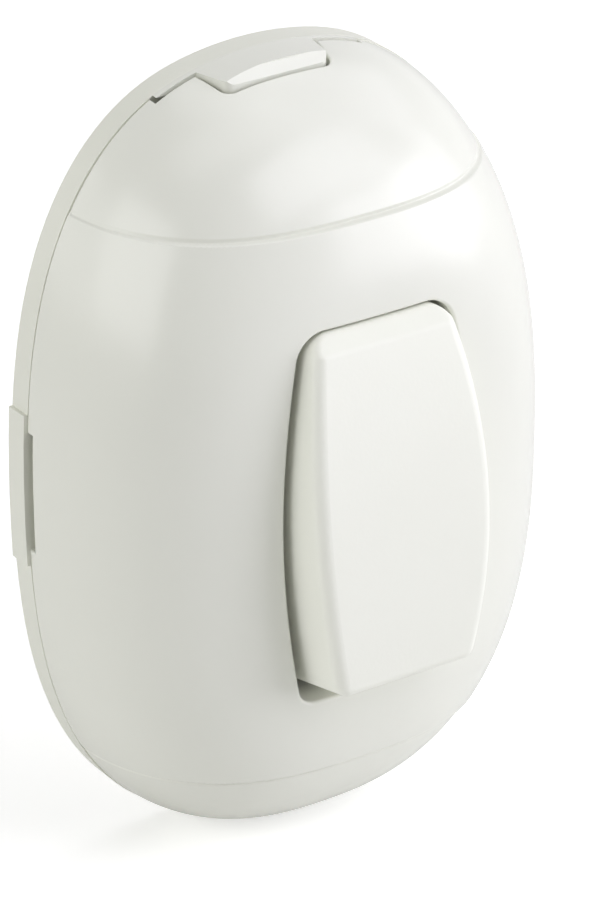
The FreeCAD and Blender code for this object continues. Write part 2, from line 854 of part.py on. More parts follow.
def rocker_frame():
    """Carrier under the cap: two ears on the pin, a spring seat and a contact nose."""
    body = new_body("rocker")
    under = "face_rise - face_thick"
    web = sketch_on(body, "web_profile", offset=under)
    add_rectangle(
        web,
        "web",
        f"0 - {ROCKER_HALF}",
        ROCKER_HALF,
        f"0 - {ROCKER_LONG}",
        ROCKER_LONG,
    )
    pad(body, "web", web, "rocker_thick", backwards=True)
    reach = f"{ROCKER_HALF} - ear_thick / 2"
    for name, side in (("right", "1"), ("left", "-1")):
        ear = sketch_on(body, f"{name}_ear", role="YZ_Plane", offset=f"({reach}) * {side}")
        add_tongue(ear, "ear_radius", f"0 - ({under}) + rocker_thick / 2")
        pad(body, f"{name}_ear_pad", ear, "ear_thick", midplane=True)
    bore = sketch_on(body, "ear_bore", role="YZ_Plane")
    add_circle(bore, "bore", "pin_radius + pin_fit")
    pocket(body, "bore", bore, "button_half * 2", midplane=True)
    seat = sketch_on(body, "seat_profile", offset=f"{under} - rocker_thick")
    middle = "face_rise - face_thick - rocker_thick - seat_drop / 2"
    spring_line = f"0 - (spring_z + ({middle}) * sin(button_tilt)) / cos(button_tilt)"
    add_circle(seat, "seat", "spring_radius - spring_wire / 2 - cup_gap", y=spring_line)
    pad(body, "spring_seat", seat, "seat_drop", backwards=True)
    nose = sketch_on(body, "nose_profile", role="YZ_Plane")
    leaf_face = f"pivot_depth - {BLOCK_TOP} - leaf_rise - leaf_thick"
    tip = f"({leaf_face} - nose_gap + contact_z * sin(button_tilt)) / cos(button_tilt)"
    back = f"0 - ({under}) + rocker_thick / 2"
    add_polygon(
        nose,
        "nose",
        [
            (back, f"0 - {ROCKER_LONG}"),
            (back, f"nose_root - {ROCKER_LONG}"),
            (tip, "nose_thick / 2 - contact_z"),
            (tip, "0 - nose_thick / 2 - contact_z"),
        ],
    )
    pad(body, "nose", nose, "nose_half * 2", midplane=True)
    leg = sketch_on(body, "leg_profile", role="YZ_Plane")
    fall = f"pivot_depth - {BLOCK_TOP} - stop_gap"
    foot = f"({fall} - stop_far * sin(button_tilt)) / cos(button_tilt)"
    root = f"0 - ({under}) + rocker_thick / 2"
    near = "stop_far - stop_thick"
    corners = [(root, near), (foot, near), (foot, "stop_far"), (root, "stop_far")]
    add_polygon(leg, "leg", corners)
    pad(body, "stop_leg", leg, "stop_half * 2", midplane=True)
    on_pivot(body)
    node(body, "rocker_frame")


def pivot_pin():
    """Steel pin through the posts of the block and the ears of the rocker."""
    pin = document.addObject("Part::Cylinder", "pin")
    bind(pin, "Radius", "pin_radius")
    bind(pin, "Height", f"({ROCKER_HALF} + pin_over) * 2")
    across = Rotation(Vector(0, 1, 0), 90)
    placed(pin, f"0 - {ROCKER_HALF} - pin_over", "0 - pivot_depth", "0", across)
    node(pin, "pivot_pin")


# The mechanism on the back plate


def contact_block():
    """Moulding that holds the posts, the spring cup and both terminals."""
    body = new_body("block")
    base = sketch_on(body, "bar_profile", offset="plate_thick")
    add_rectangle(base, "bar", f"0 - {BLOCK_HALF}", BLOCK_HALF, "0 - bar_low", "0 - bar_high")
    pad(body, "bar", base, "block_thick")
    core = sketch_on(body, "core_profile", offset="plate_thick")
    low = "-1 * bar_high - overrun"
    add_rectangle(core, "core", "0 - core_half", "core_half", low, "core_high")
    pad(body, "core", core, "block_thick")
    for name, side in (("right", "1"), ("left", "-1")):
        post = sketch_on(body, f"{name}_post", role="YZ_Plane", offset=f"{POST_MIDDLE} * {side}")
        bind(post, "AttachmentOffset.Base.x", "0 - pivot_depth")
        add_tongue(post, "post_radius", f"pivot_depth - {BLOCK_TOP} + block_thick / 2")
        pad(body, f"{name}_post_pad", post, "post_thick", midplane=True)
    bore = sketch_on(body, "post_bore", role="YZ_Plane")
    add_circle(bore, "bore", "pin_radius", x="0 - pivot_depth")
    pocket(body, "bore", bore, "core_half * 4", midplane=True)
    top = BLOCK_TOP
    cup = sketch_on(body, "cup_profile", offset=top)
    add_circle(
        cup, "outer", "spring_radius + spring_wire / 2 + cup_gap + cup_wall", y="0 - spring_z"
    )
    add_circle(cup, "inner", "spring_radius + spring_wire / 2 + cup_gap", y="0 - spring_z")
    pad(body, "spring_cup", cup, "cup_rise")
    holes = sketch_on(body, "screw_holes", offset=top)
    for name, side in (("right", "1"), ("left", "-1")):
        radius, x = "block_screw_radius + block_screw_gap", f"block_screw_x * {side}"
        add_circle(holes, name, radius, x, "block_screw_z")
    pocket(body, "screw_holes_cut", holes, "block_thick + overrun")
    seats = sketch_on(body, "insert_seats", offset=top)
    for name, side in (("right", "1"), ("left", "-1")):
        add_circle(seats, name, "insert_radius", f"{TERMINAL} * {side}", "0 - contact_z")
    pocket(body, "insert_seats_cut", seats, "insert_long")
    wells = sketch_on(body, "screw_wells", offset=top)
    for name, side in (("right", "1"), ("left", "-1")):
        add_circle(
            wells, name, "screw_radius + screw_gap", f"{TERMINAL} * {side}", "0 - contact_z"
        )
    pocket(body, "screw_wells_cut", wells, "block_thick + overrun")
    node(body, "contact_block")


def block_screws():
    """Two self-tapping screws that hold the contact block on the back plate."""
    top = BLOCK_TOP
    middle = ("block_screw_x", "block_screw_z")
    head = standing("block_head", "block_screw_head", "block_screw_head_rise", top, middle)
    foot = f"{top} - block_screw_deep"
    shank = standing("block_shank", "block_screw_radius", "block_screw_deep", foot, middle)
    face = f"{top} + block_screw_head_rise"
    slot = driver_slot("block_slot", face, middle, "block_screw_head")
    right = cut("block_screw", fuse("block_screw_blank", head, shank), slot)
    node(group("block_screw_pair", right, mirrored("block_screw_left", right)), "block_screws")


def standing(name, radius, height, depth, middle):
    """A round bar about a middle given as two formulas, x and z."""
    x, z = middle
    return cylinder(name, radius, height, x, depth, z)


def driver_slot(name, face, middle, reach):
    """The straight slot that a screwdriver fits, cut into a screw's face."""
    x, z = middle
    return block(
        name,
        f"{x} - {reach}",
        f"{x} + {reach}",
        f"{face} - driver_slot_deep",
        f"{face} + overrun",
        f"{z} - driver_slot_wide / 2",
        f"{z} + driver_slot_wide / 2",
    )


def clearance_hole(name, x):
    """A round cutter that lets a terminal screw through with its gap."""
    return cylinder(name, "screw_radius + screw_gap", "cover_depth", x, "0", "0 - contact_z")


def fixed_contact():
    """Flat brass strip from the right terminal to a place under the moving contact."""
    strip = block(
        "strip",
        "0 - strip_reach",
        STRIP_END,
        BLOCK_TOP,
        f"{BLOCK_TOP} + fixed_thick",
        "0 - contact_z - strip_wide / 2",
        "0 - contact_z + strip_wide / 2",
    )
    hole = clearance_hole("strip_hole", TERMINAL)
    node(cut("fixed_strip", strip, hole), "fixed_contact")


def moving_contact():
    """Bronze leaf that the rocker's nose presses down on the fixed contact."""
    body = new_body("leaf")
    profile = body.newObject("Sketcher::SketchObject", "leaf_profile")
    plane = next(item for item in body.Origin.OriginFeatures if item.Role == "XY_Plane")
    profile.AttachmentSupport = [(plane, "")]
    profile.MapMode = "FlatFace"
    bind(profile, "AttachmentOffset.Base.z", "0 - contact_z")
    low = BLOCK_TOP
    high = f"{low} + leaf_rise"
    flat_end = f"leaf_flat - {TERMINAL}"
    slope_end = f"leaf_flat + leaf_slope - {TERMINAL}"
    add_polygon(
        profile,
        "leaf",
        [
            (f"0 - {STRIP_END}", f"0 - ({low})"),
            (flat_end, f"0 - ({low})"),
            (slope_end, f"0 - ({high})"),
            ("strip_reach", f"0 - ({high})"),
            ("strip_reach", f"0 - ({high}) - leaf_thick"),
            (slope_end, f"0 - ({high}) - leaf_thick"),
            (flat_end, f"0 - ({low}) - leaf_thick"),
            (f"0 - {STRIP_END}", f"0 - ({low}) - leaf_thick"),
        ],
    )
    pad(body, "leaf", profile, "strip_wide", midplane=True)
    hole = sketch_on(body, "leaf_hole", offset=f"{low} + leaf_thick + overrun")
    add_circle(hole, "hole", "screw_radius + screw_gap", x=f"0 - {TERMINAL}", y="0 - contact_z")
    pocket(body, "leaf_hole_cut", hole, "leaf_thick + overrun * 2")
    node(body, "moving_contact")


def contact_tips():
    """Silver rivet heads that meet when the button is pressed."""
    low = f"{BLOCK_TOP} + fixed_thick"
    high = f"{BLOCK_TOP} + leaf_rise"
    node(
        cylinder("lower_tip", "tip_radius", "tip_rise", "0", low, "0 - contact_z"),
        "fixed_contact_tip",
    )
    node(
        cylinder(
            "upper_tip", "tip_radius", "tip_rise", "0", f"{high} - tip_rise", "0 - contact_z"
        ),
        "moving_contact_tip",
    )


def terminal(side, strip_thick):
    """Insert, square washer and screw of one terminal, as plain pieces."""
    x = f"{TERMINAL} * {side}"
    middle = (x, "0 - contact_z")
    top = BLOCK_TOP
    name = "right" if side == "1" else "left"
    foot = f"{top} - insert_long"
    bush = cut(
        f"{name}_insert",
        standing(f"{name}_bush", "insert_radius", "insert_long", foot, middle),
        standing(f"{name}_thread", "screw_radius", "cover_depth", "0", middle),
    )
    lying = f"{top} + {strip_thick}"
    washer = cut(
        f"{name}_washer",
        block(
            f"{name}_plate",
            f"{x} - washer_half",
            f"{x} + washer_half",
            lying,
            f"{lying} + washer_thick",
            "0 - contact_z - washer_half",
            "0 - contact_z + washer_half",
        ),
        clearance_hole(f"{name}_washer_hole", x),
    )
    under_head = f"{lying} + washer_thick"
    head = standing(f"{name}_head", "screw_head_radius", "screw_head_rise", under_head, middle)
    tip = f"{under_head} - screw_long"
    shank = standing(f"{name}_shank", "screw_radius", "screw_long", tip, middle)
    face = f"{under_head} + screw_head_rise"
    slot = driver_slot(f"{name}_slot", face, middle, "screw_head_radius")
    screw = cut(f"{name}_screw", fuse(f"{name}_screw_blank", head, shank), slot)
    return bush, washer, screw


def terminals():
    left = terminal("-1", "leaf_thick")
    right = terminal("1", "fixed_thick")
    names = ("terminal_inserts", "terminal_washers", "terminal_screws")
    for name, pair in zip(names, zip(left, right)):
        node(group(f"{name}_pair", *pair), name)


def return_spring():
    """Coil spring between the cup of the block and the web of the rocker."""
    low = value(f"{BLOCK_TOP} + spring_wire / 2")
    tilt = math.radians(size("button_tilt"))
    under = value("face_rise - face_thick - rocker_thick")
    high = size("pivot_depth") + under * math.cos(tilt) + size("spring_z") * math.sin(tilt)
    length = high - size("spring_wire") / 2 - size("spring_gap") - low
    helix = Part.makeHelix(length / size("spring_turns"), length, size("spring_radius"))
    start = Vector(size("spring_radius"), 0, 0)
    wire = Part.Wire(Part.makeCircle(size("spring_wire") / 2, start, Vector(0, 1, 0)))
    coil = Part.Wire(helix.Edges).makePipeShell([wire], True, True)
    spring = document.addObject("Part::Feature", "spring")
    spring.Shape = coil
    spring.Placement = Placement(
        Vector(0, -low, -size("spring_z")), Rotation(Vector(1, 0, 0), 90)
    )
    node(spring, "return_spring")


def check_document():
    """Stops if any object failed, or if a node's shape is missing or broken."""
    document.recompute()
    for item in document.Objects:
        if "Invalid" in item.State or "Error" in item.State:
            raise RuntimeError(f"{item.Name} failed: {item.State}")
    for item in nodes:
        if item.Shape.isNull() or not item.Shape.isValid():
            raise RuntimeError(f"{item.Label} has no valid shape")


def main():
    back_plate()
    cover()
    cable_entry_blank()
    push_button()
    rocker_frame()
    pivot_pin()
    contact_block()
    block_screws()
    fixed_contact()
    moving_contact()
    contact_tips()
    terminals()
    return_spring()
    check_document()
    os.makedirs("parts", exist_ok=True)
    for item in nodes:
        item.Shape.exportStep(f"parts/{item.Label}.step")
        box = item.Shape.BoundBox
        print(
            f"{item.Label}: {len(item.Shape.Solids)} solids, "
            f"{box.XLength:.2f} x {box.YLength:.2f} x {box.ZLength:.2f} mm"
        )


main()
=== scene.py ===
import logging
import math
from dataclasses import dataclass, field
from enum import Enum

import bpy
from mathutils import Matrix, Vector
from mathutils.geometry import delaunay_2d_cdt


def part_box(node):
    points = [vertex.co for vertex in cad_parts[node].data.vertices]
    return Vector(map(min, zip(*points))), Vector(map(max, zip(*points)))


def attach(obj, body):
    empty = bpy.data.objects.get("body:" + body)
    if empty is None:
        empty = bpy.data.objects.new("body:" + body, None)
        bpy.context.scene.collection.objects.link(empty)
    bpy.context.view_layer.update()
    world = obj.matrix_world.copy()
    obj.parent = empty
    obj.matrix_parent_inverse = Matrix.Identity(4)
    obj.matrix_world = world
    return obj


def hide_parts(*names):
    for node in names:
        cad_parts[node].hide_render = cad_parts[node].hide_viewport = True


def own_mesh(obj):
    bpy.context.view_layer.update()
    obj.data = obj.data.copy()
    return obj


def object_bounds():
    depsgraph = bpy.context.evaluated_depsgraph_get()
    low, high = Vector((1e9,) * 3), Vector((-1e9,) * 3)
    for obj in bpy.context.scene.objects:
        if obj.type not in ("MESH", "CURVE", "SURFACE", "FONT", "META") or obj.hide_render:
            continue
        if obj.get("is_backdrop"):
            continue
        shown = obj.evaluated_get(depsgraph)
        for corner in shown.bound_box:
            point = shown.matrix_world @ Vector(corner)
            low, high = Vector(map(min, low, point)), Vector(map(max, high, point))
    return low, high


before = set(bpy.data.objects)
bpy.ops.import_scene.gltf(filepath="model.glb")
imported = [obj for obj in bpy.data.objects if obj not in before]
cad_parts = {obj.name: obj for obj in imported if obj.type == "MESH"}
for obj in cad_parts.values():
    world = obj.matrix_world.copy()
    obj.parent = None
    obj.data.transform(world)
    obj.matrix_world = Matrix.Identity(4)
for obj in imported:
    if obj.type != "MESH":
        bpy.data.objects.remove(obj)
log = logging.getLogger("bell_push")

MM = 0.001
JOIN_WITHIN = 1e-7


def to_linear(colour: str) -> tuple[float, float, float, float]:
    """Turns an sRGB hex colour into the linear values that a shader takes.

    Args:
        colour: six hex digits after a hash sign.

    Returns:
        Red, green and blue as linear values, with an alpha of 1.
    """
    shares = [int(colour[start : start + 2], 16) / 255 for start in (1, 3, 5)]
    linear = [s / 12.92 if s <= 0.04045 else ((s + 0.055) / 1.055) ** 2.4 for s in shares]
    return (*linear, 1.0)


def add_node(
    tree: bpy.types.NodeTree,
    kind: str,
    settings: dict[str, object] | None = None,
    values: dict[str | int, object] | None = None,
    links: dict[str | int, bpy.types.NodeSocket] | None = None,
) -> bpy.types.Node:
    """Adds a node to a tree, with its settings, its socket values and its links.

    Args:
        tree: the material's or world's node tree.
        kind: the node's type name.
        settings: properties of the node itself.
        values: numbers or colours for unlinked inputs.
        links: output sockets of other nodes, by the input that each one feeds.

    Returns:
        The new node.
    """
    made = tree.nodes.new(kind)
    for name, value in (settings or {}).items():
        setattr(made, name, value)
    for name, value in (values or {}).items():
        made.inputs[name].default_value = value
    for name, socket in (links or {}).items():
        tree.links.new(socket, made.inputs[name])
    return made


class Tooling(Enum):
    """How the tool that moulded a surface was finished.

    Each option holds the strength of the relief and how far the roughness spreads.
    """

    POLISHED = (0.05, 0.05)
    SPARK_ERODED = (0.22, 0.12)


@dataclass(frozen=True)
class MouldedPlastic:
    """An injection-moulded thermoplastic.

    Moulded faces are never quite flat or quite one tone: the melt leaves a slow drift
    in shade, and the tool leaves its own fine relief.
    """

    name: str
    colour: str
    shade: str
    roughness: float
    ior: float
    tooling: Tooling
    relief_mm: float
    drift_mm: float = 14.0
    relief_depth: float = 0.12

    def build(self) -> bpy.types.Material:
        """Makes the material: tone, relief and roughness.

        Returns:
            The new material.
        """
        material = bpy.data.materials.new(self.name)
        material.use_nodes = True
        tree = material.node_tree
        shader = tree.nodes["Principled BSDF"]
        place = add_node(tree, "ShaderNodeTexCoord").outputs["Object"]
        drift = add_node(
            tree,
            "ShaderNodeTexNoise",
            values={"Scale": 1 / (self.drift_mm * MM), "Detail": 2.0, "Roughness": 0.45},
            links={"Vector": place},
        )
        tone = add_node(
            tree,
            "ShaderNodeMix",
            {"data_type": "RGBA"},
            {6: to_linear(self.colour), 7: to_linear(self.shade)},
            {"Factor": drift.outputs["Fac"]},
        )
        tree.links.new(tone.outputs[2], shader.inputs["Base Color"])
        grain = add_node(
            tree,
            "ShaderNodeTexNoise",
            values={"Scale": 1 / (self.relief_mm * MM), "Detail": 3.0, "Roughness": 0.6},
            links={"Vector": place},
        )
        strength, spread = self.tooling.value
        bump = add_node(
            tree,
            "ShaderNodeBump",
            values={"Strength": strength, "Distance": self.relief_mm * MM * self.relief_depth},
            links={"Height": grain.outputs["Fac"]},
        )
        tree.links.new(bump.outputs["Normal"], shader.inputs["Normal"])
        gloss = add_node(
            tree,
            "ShaderNodeMapRange",
            values={"To Min": self.roughness - spread, "To Max": self.roughness + spread},
            links={"Value": grain.outputs["Fac"]},
        )
        tree.links.new(gloss.outputs["Result"], shader.inputs["Roughness"])
        shader.inputs["IOR"].default_value = self.ior
        return material


@dataclass(frozen=True)
class BareMetal:
    """A bare or plated metal, drawn, stamped or turned, with fine marks of its making.

    The marks are line_mm apart, and longer where along is small. A thin film of tarnish
    shifts the tone in patches of film_mm.
    """

    name: str
    colour: str
    tarnish: str
    roughness: float
    line_mm: float
    along: tuple[float, float, float] = (1.0, 1.0, 1.0)
    film_mm: float = 2.2
    spread: tuple[float, float] = (-0.08, 0.12)
    line_strength: float = 0.15
    line_depth: float = 0.1

    def build(self) -> bpy.types.Material:
        """Makes the material: tone, marks and roughness.

        Returns:
            The new material.
        """
        material = bpy.data.materials.new(self.name)
        material.use_nodes = True
        tree = material.node_tree
        shader = tree.nodes["Principled BSDF"]
        shader.inputs["Metallic"].default_value = 1.0
        place = add_node(tree, "ShaderNodeTexCoord").outputs["Object"]
        drawn = add_node(
            tree,
            "ShaderNodeMapping",
            values={"Scale": self.along},
            links={"Vector": place},
        )
        lines = add_node(
            tree,
            "ShaderNodeTexNoise",
            values={"Scale": 1 / (self.line_mm * MM), "Detail": 4.0},
            links={"Vector": drawn.outputs["Vector"]},
        )
        film = add_node(
            tree,
            "ShaderNodeTexNoise",
            values={"Scale": 1 / (self.film_mm * MM), "Detail": 3.0},
            links={"Vector": place},
        )
        tone = add_node(
            tree,
            "ShaderNodeMix",
            {"data_type": "RGBA"},
            {6: to_linear(self.colour), 7: to_linear(self.tarnish)},
            {"Factor": film.outputs["Fac"]},
        )
        tree.links.new(tone.outputs[2], shader.inputs["Base Color"])
        smoothest, roughest = (self.roughness + step for step in self.spread)
        gloss = add_node(
            tree,
            "ShaderNodeMapRange",
            values={"To Min": smoothest, "To Max": roughest},
            links={"Value": lines.outputs["Fac"]},
        )
        tree.links.new(gloss.outputs["Result"], shader.inputs["Roughness"])
        bump = add_node(
            tree,
            "ShaderNodeBump",
            values={
                "Strength": self.line_strength,
                "Distance": self.line_mm * MM * self.line_depth,
            },
            links={"Height": lines.outputs["Fac"]},
        )
        tree.links.new(bump.outputs["Normal"], shader.inputs["Normal"])
        return material


# White ABS from a polished tool. The dome mirrors the lamps softly, and its tone drifts a
# little over a few centimetres. The ripple is drawn coarser than the real one, to show.
COVER_ABS = MouldedPlastic(
    name="white_abs_gloss_moulded",
    colour="#EDEEE4",
    shade="#EAEBE1",
    roughness=0.24,
    ior=1.54,
    tooling=Tooling.POLISHED,
    relief_mm=1.6,
)
# White ABS from a finely spark-eroded tool. The satin face spreads a lamp's reflection
# wide, so that the button looks duller and more even than the cover.
BUTTON_ABS = MouldedPlastic(
    name="white_abs_satin_moulded",
    colour="#F4F5EB",
    shade="#F1F2E7",
    roughness=0.48,
    ior=1.54,
    tooling=Tooling.SPARK_ERODED,
    relief_mm=0.35,
)
# White ABS for the plate, spark-eroded like the button but a little smoother. Its rim
# looks plain beside the glossy cover.
PLATE_ABS = MouldedPlastic(
    name="white_abs_plate_moulded",
    colour="#EAEBE0",
    shade="#E7E8DC",
    roughness=0.42,
    ior=1.54,
    tooling=Tooling.SPARK_ERODED,
    relief_mm=0.4,
)
# Natural nylon for the working parts, unpigmented. It looks creamy and a little waxy.
IVORY_NYLON = MouldedPlastic(
    name="ivory_nylon_moulded",
    colour="#E2DAC3",
    shade="#D8CFB6",
    roughness=0.5,
    ior=1.53,
    tooling=Tooling.SPARK_ERODED,
    relief_mm=0.5,
)
# Steel, drawn bright through a die. Lines along the pin stretch its highlight.
PIN_STEEL = BareMetal("bright_steel_drawn", "#B9BABB", "#A2A3A4", 0.28, 0.06, (0.05, 1, 1))
# Hard-drawn spring wire, which stays darker than the pin.
SPRING_STEEL = BareMetal("spring_steel_wire", "#9B9C9E", "#7F8082", 0.34, 0.08)
# Steel under a zinc plating with a cool cast.
SCREW_ZINC = BareMetal("zinc_plated_steel", "#C6C9CC", "#AEB2B8", 0.32, 0.1)
# Rolled and stamped brass. Rolling lines run along the strip.
STRIP_BRASS = BareMetal("brass_rolled", "#D7B263", "#B88F45", 0.3, 0.08, (0.06, 1, 1))
# Turned brass, a little brighter than the strip.
SCREW_BRASS = BareMetal("brass_turned", "#DDB969", "#BC9549", 0.26, 0.07)
# Rolled phosphor bronze, redder than brass.
LEAF_BRONZE = BareMetal("phosphor_bronze_rolled", "#C98F5E", "#A87147", 0.3, 0.08, (0.06, 1, 1))
# Fine silver rivets, pale and warm, with a hint of tarnish.
TIP_SILVER = BareMetal("silver_rivet", "#DAD8D3", "#BDB8AE", 0.24, 0.06)


def smooth(share: float) -> float:
    """Eases a share from 0 to 1, level at both ends."""
    share = min(max(share, 0.0), 1.0)
    return share * share * (3.0 - 2.0 * share)


def signed_power(base: float, power: float) -> float:
    """Raises a number's size to a power and keeps its sign."""
    return math.copysign(abs(base) ** power, base)


@dataclass(frozen=True)
class Dome:
    """A domed housing surface, in millimetres.

    Its outlines are superellipses that shrink as they climb from the rim to the crown.
    A place on it is a climb, 0 at the rim and a quarter turn at the crown, and a turn
    about the crown. Points are x, depth from the wall and z.
    """

    half_width: float
    half_height: float
    start: float
    crown: float
    outline_power: float = 2.5
    side_power: float = 4.1
    crown_power: float = 1.8

    def share(self, climb: float) -> float:
        """How much of the full outline is left at a climb."""
        return max(math.cos(climb), 0.0) ** (2 / self.side_power)

    def depth(self, climb: float) -> float:
        """How far from the wall a climb lies."""
        rise = max(math.sin(climb), 0.0) ** (2 / self.crown_power)
        return self.start + (self.crown - self.start) * rise

    def point(self, climb: float, turn: float) -> Vector:
        """Finds a point of the surface.

        Args:
            climb: 0 at the rim and a quarter turn at the crown.
            turn: the turn about the crown, from the right.

        Returns:
            The point.
        """
        reach, bend = self.share(climb), 2 / self.outline_power
        across = self.half_width * reach * signed_power(math.cos(turn), bend)
        along = self.half_height * reach * signed_power(math.sin(turn), bend)
        return Vector((across, self.depth(climb), along))

    def climb_at(self, depth: float) -> float:
        """The climb that lies at a depth."""
        rise = (depth - self.start) / (self.crown - self.start)
        return math.asin(min(max(rise, 0.0), 1.0) ** (self.crown_power / 2))

    def place(self, x: float, z: float) -> tuple[float, float]:
        """Finds the place that lies in front of a spot on the wall.

        Args:
            x: how far right the spot lies.
            z: how far up it lies.

        Returns:
            The climb and the turn.
        """
        power, bend = self.outline_power, self.outline_power / 2
        across, along = x / self.half_width, z / self.half_height
        reach = (abs(across) ** power + abs(along) ** power) ** (1 / power)
        climb = math.acos(min(reach, 1.0) ** (self.side_power / 2))
        return climb, math.atan2(signed_power(along, bend), signed_power(across, bend))

    def at_height(self, z: float, depth: float, side: int) -> tuple[float, float]:
        """Finds the place where a height and a depth meet on one side.

        Args:
            z: the height.
            depth: the depth from the wall.
            side: 1 for the right and -1 for the left.

        Returns:
            The climb and the turn.
        """
        climb = self.climb_at(depth)
        share = z / (self.half_height * self.share(climb))
        lean = math.asin(signed_power(share, self.outline_power / 2))
        return climb, lean if side > 0 else math.pi - lean

    def at_width(self, x: float, depth: float) -> tuple[float, float]:
        """Finds the place where a width and a depth meet above the crown.

        Args:
            x: how far right it lies.
            depth: the depth from the wall.

        Returns:
            The climb and the turn.
        """
        climb = self.climb_at(depth)
        share = x / (self.half_width * self.share(climb))
        return climb, math.acos(signed_power(share, self.outline_power / 2))

    def flat(self, climb: float, turn: float) -> Vector:
        """Lays a place out flat round the crown, for joining points into faces.

        Args:
            climb: the place's climb.
            turn: the place's turn.

        Returns:
            A point inside a circle of radius 1, nearer the middle when nearer the crown.
        """
        bend = 2 / self.outline_power
        way = Vector((signed_power(math.cos(turn), bend), signed_power(math.sin(turn), bend)))
        rise = (self.depth(climb) - self.start) / (self.crown - self.start)
        return way.normalized() * (1.0 + self.share(climb) - rise) / 2


@dataclass(frozen=True)
class SteppedDome:
    """The cover's outside: a middle band that stands proud of two end caps.

    A narrow groove runs along the foot of each step.
    """

    band: Dome = Dome(23.35, 35.0, 2.4, 19.7)
    cap: Dome = Dome(23.27, 34.92, 2.4, 19.32)
    crease: float = 24.56
    riser: float = 0.26
    groove_wide: float = 0.34
    groove_deep: float = 0.6

    def capped(self, height: float) -> float:
        """Tells how far the surface has dropped from the band to a cap.

        Args:
            height: z of the place on the band.

        Returns:
            0 on the band, 1 on a cap, and more than 1 in the groove.
        """
        past = abs(height) - self.crease
        low = 1.0 + self.groove_deep
        if past < self.riser:
            return low * smooth(past / self.riser)
        return low - self.groove_deep * smooth((past - self.riser) / self.groove_wide)

    def point(self, climb: float, turn: float) -> Vector:
        """The point at a climb and a turn."""
        band = self.band.point(climb, turn)
        return band + (self.cap.point(climb, turn) - band) * self.capped(band.z)


def normal_of(surface: Dome | SteppedDome, climb: float, turn: float) -> Vector:
    """Finds the outward direction of a domed surface.

    Args:
        surface: the dome.
        climb: the place's climb.
        turn: the place's turn.

    Returns:
        The direction, of length 1.
    """
    step = 1e-4
    climb = min(max(climb, step), math.pi / 2 - step)
    up = surface.point(climb + step, turn) - surface.point(climb - step, turn)
    along = surface.point(climb, turn + step) - surface.point(climb, turn - step)
    return up.cross(along).normalized()


@dataclass(frozen=True)
class Mouth:
    """The opening for the button: level ends, bowed sides and rounded corners."""

    half: float = 9.25
    bow: float = 70.0
    top: float = 16.9
    low: float = 16.8
    top_corner: float = 2.8
    low_corner: float = 1.6
    side_steps: int = 44
    top_steps: int = 10
    low_steps: int = 8
    end_steps: int = 20

    def outline(self) -> list[tuple[Vector, Vector]]:
        """Points round the opening, each with the direction away from it.

        Returns:
            Pairs of x and z, counter-clockwise as seen from the front.
        """
        middle = self.half - self.bow
        top_angle, top_x = self.tangent(self.top, self.top_corner)
        low_angle, low_x = self.tangent(self.low, self.low_corner)
        right = arc(Vector((middle, 0.0)), self.bow, -low_angle, top_angle, self.side_steps)
        top_middle = Vector((top_x, self.top - self.top_corner))
        right += arc(top_middle, self.top_corner, top_angle, math.pi / 2, self.top_steps)[1:]
        low_middle = Vector((low_x, self.low_corner - self.low))
        corner = arc(low_middle, self.low_corner, -math.pi / 2, -low_angle, self.low_steps)[:-1]
        shares = [2 * k / self.end_steps for k in range(1, self.end_steps)]
        up, down = Vector((0.0, 1.0)), Vector((0.0, -1.0))
        roof = [(Vector((top_x * (1 - share), self.top)), up) for share in shares]
        floor = [(Vector((low_x * (share - 1), -self.low)), down) for share in shares]
        return right + roof + mirrored(right) + mirrored(corner) + floor + corner

    def tangent(self, end: float, corner: float) -> tuple[float, float]:
        """Finds where a rounded corner runs into the bowed side.

        Args:
            end: how far the level end lies from the middle.
            corner: the corner's radius.

        Returns:
            The angle on the side's arc, and x of the corner's middle.
        """
        middle = self.half - self.bow
        reach = math.sqrt((self.bow - corner) ** 2 - (end - corner) ** 2)
        return math.atan2(end - corner, reach), middle + reach


def arc(
    middle: Vector, radius: float, start: float, end: float, steps: int
) -> list[tuple[Vector, Vector]]:
    """Spaces points along an arc.

    Args:
        middle: the arc's middle.
        radius: its radius.
        start: the angle of the first point.
        end: the angle of the last point.
        steps: how many steps lie between the two.

    Returns:
        Pairs of a point and the direction away from the middle.
    """
    angles = [start + (end - start) * k / steps for k in range(steps + 1)]
    ways = [Vector((math.cos(angle), math.sin(angle))) for angle in angles]
    return [(middle + way * radius, way) for way in ways]


def mirrored(pairs: list[tuple[Vector, Vector]]) -> list[tuple[Vector, Vector]]:
    """The same pairs on the other side of x = 0, in the other order."""
    return [
        (Vector((-spot.x, spot.y)), Vector((-way.x, way.y))) for spot, way in reversed(pairs)
    ]


def between(
    first: tuple[float, float], last: tuple[float, float], count: int
) -> list[tuple[float, float]]:
    """Spaces places evenly between two places.

    Args:
        first: the climb and turn of the first.
        last: the climb and turn of the last.
        count: how many steps lie between the two.

    Returns:
        The places, without the two themselves.
    """
    steps = [k / count for k in range(1, count)]
    return [
        (first[0] + (last[0] - first[0]) * step, first[1] + (last[1] - first[1]) * step)
        for step in steps
    ]


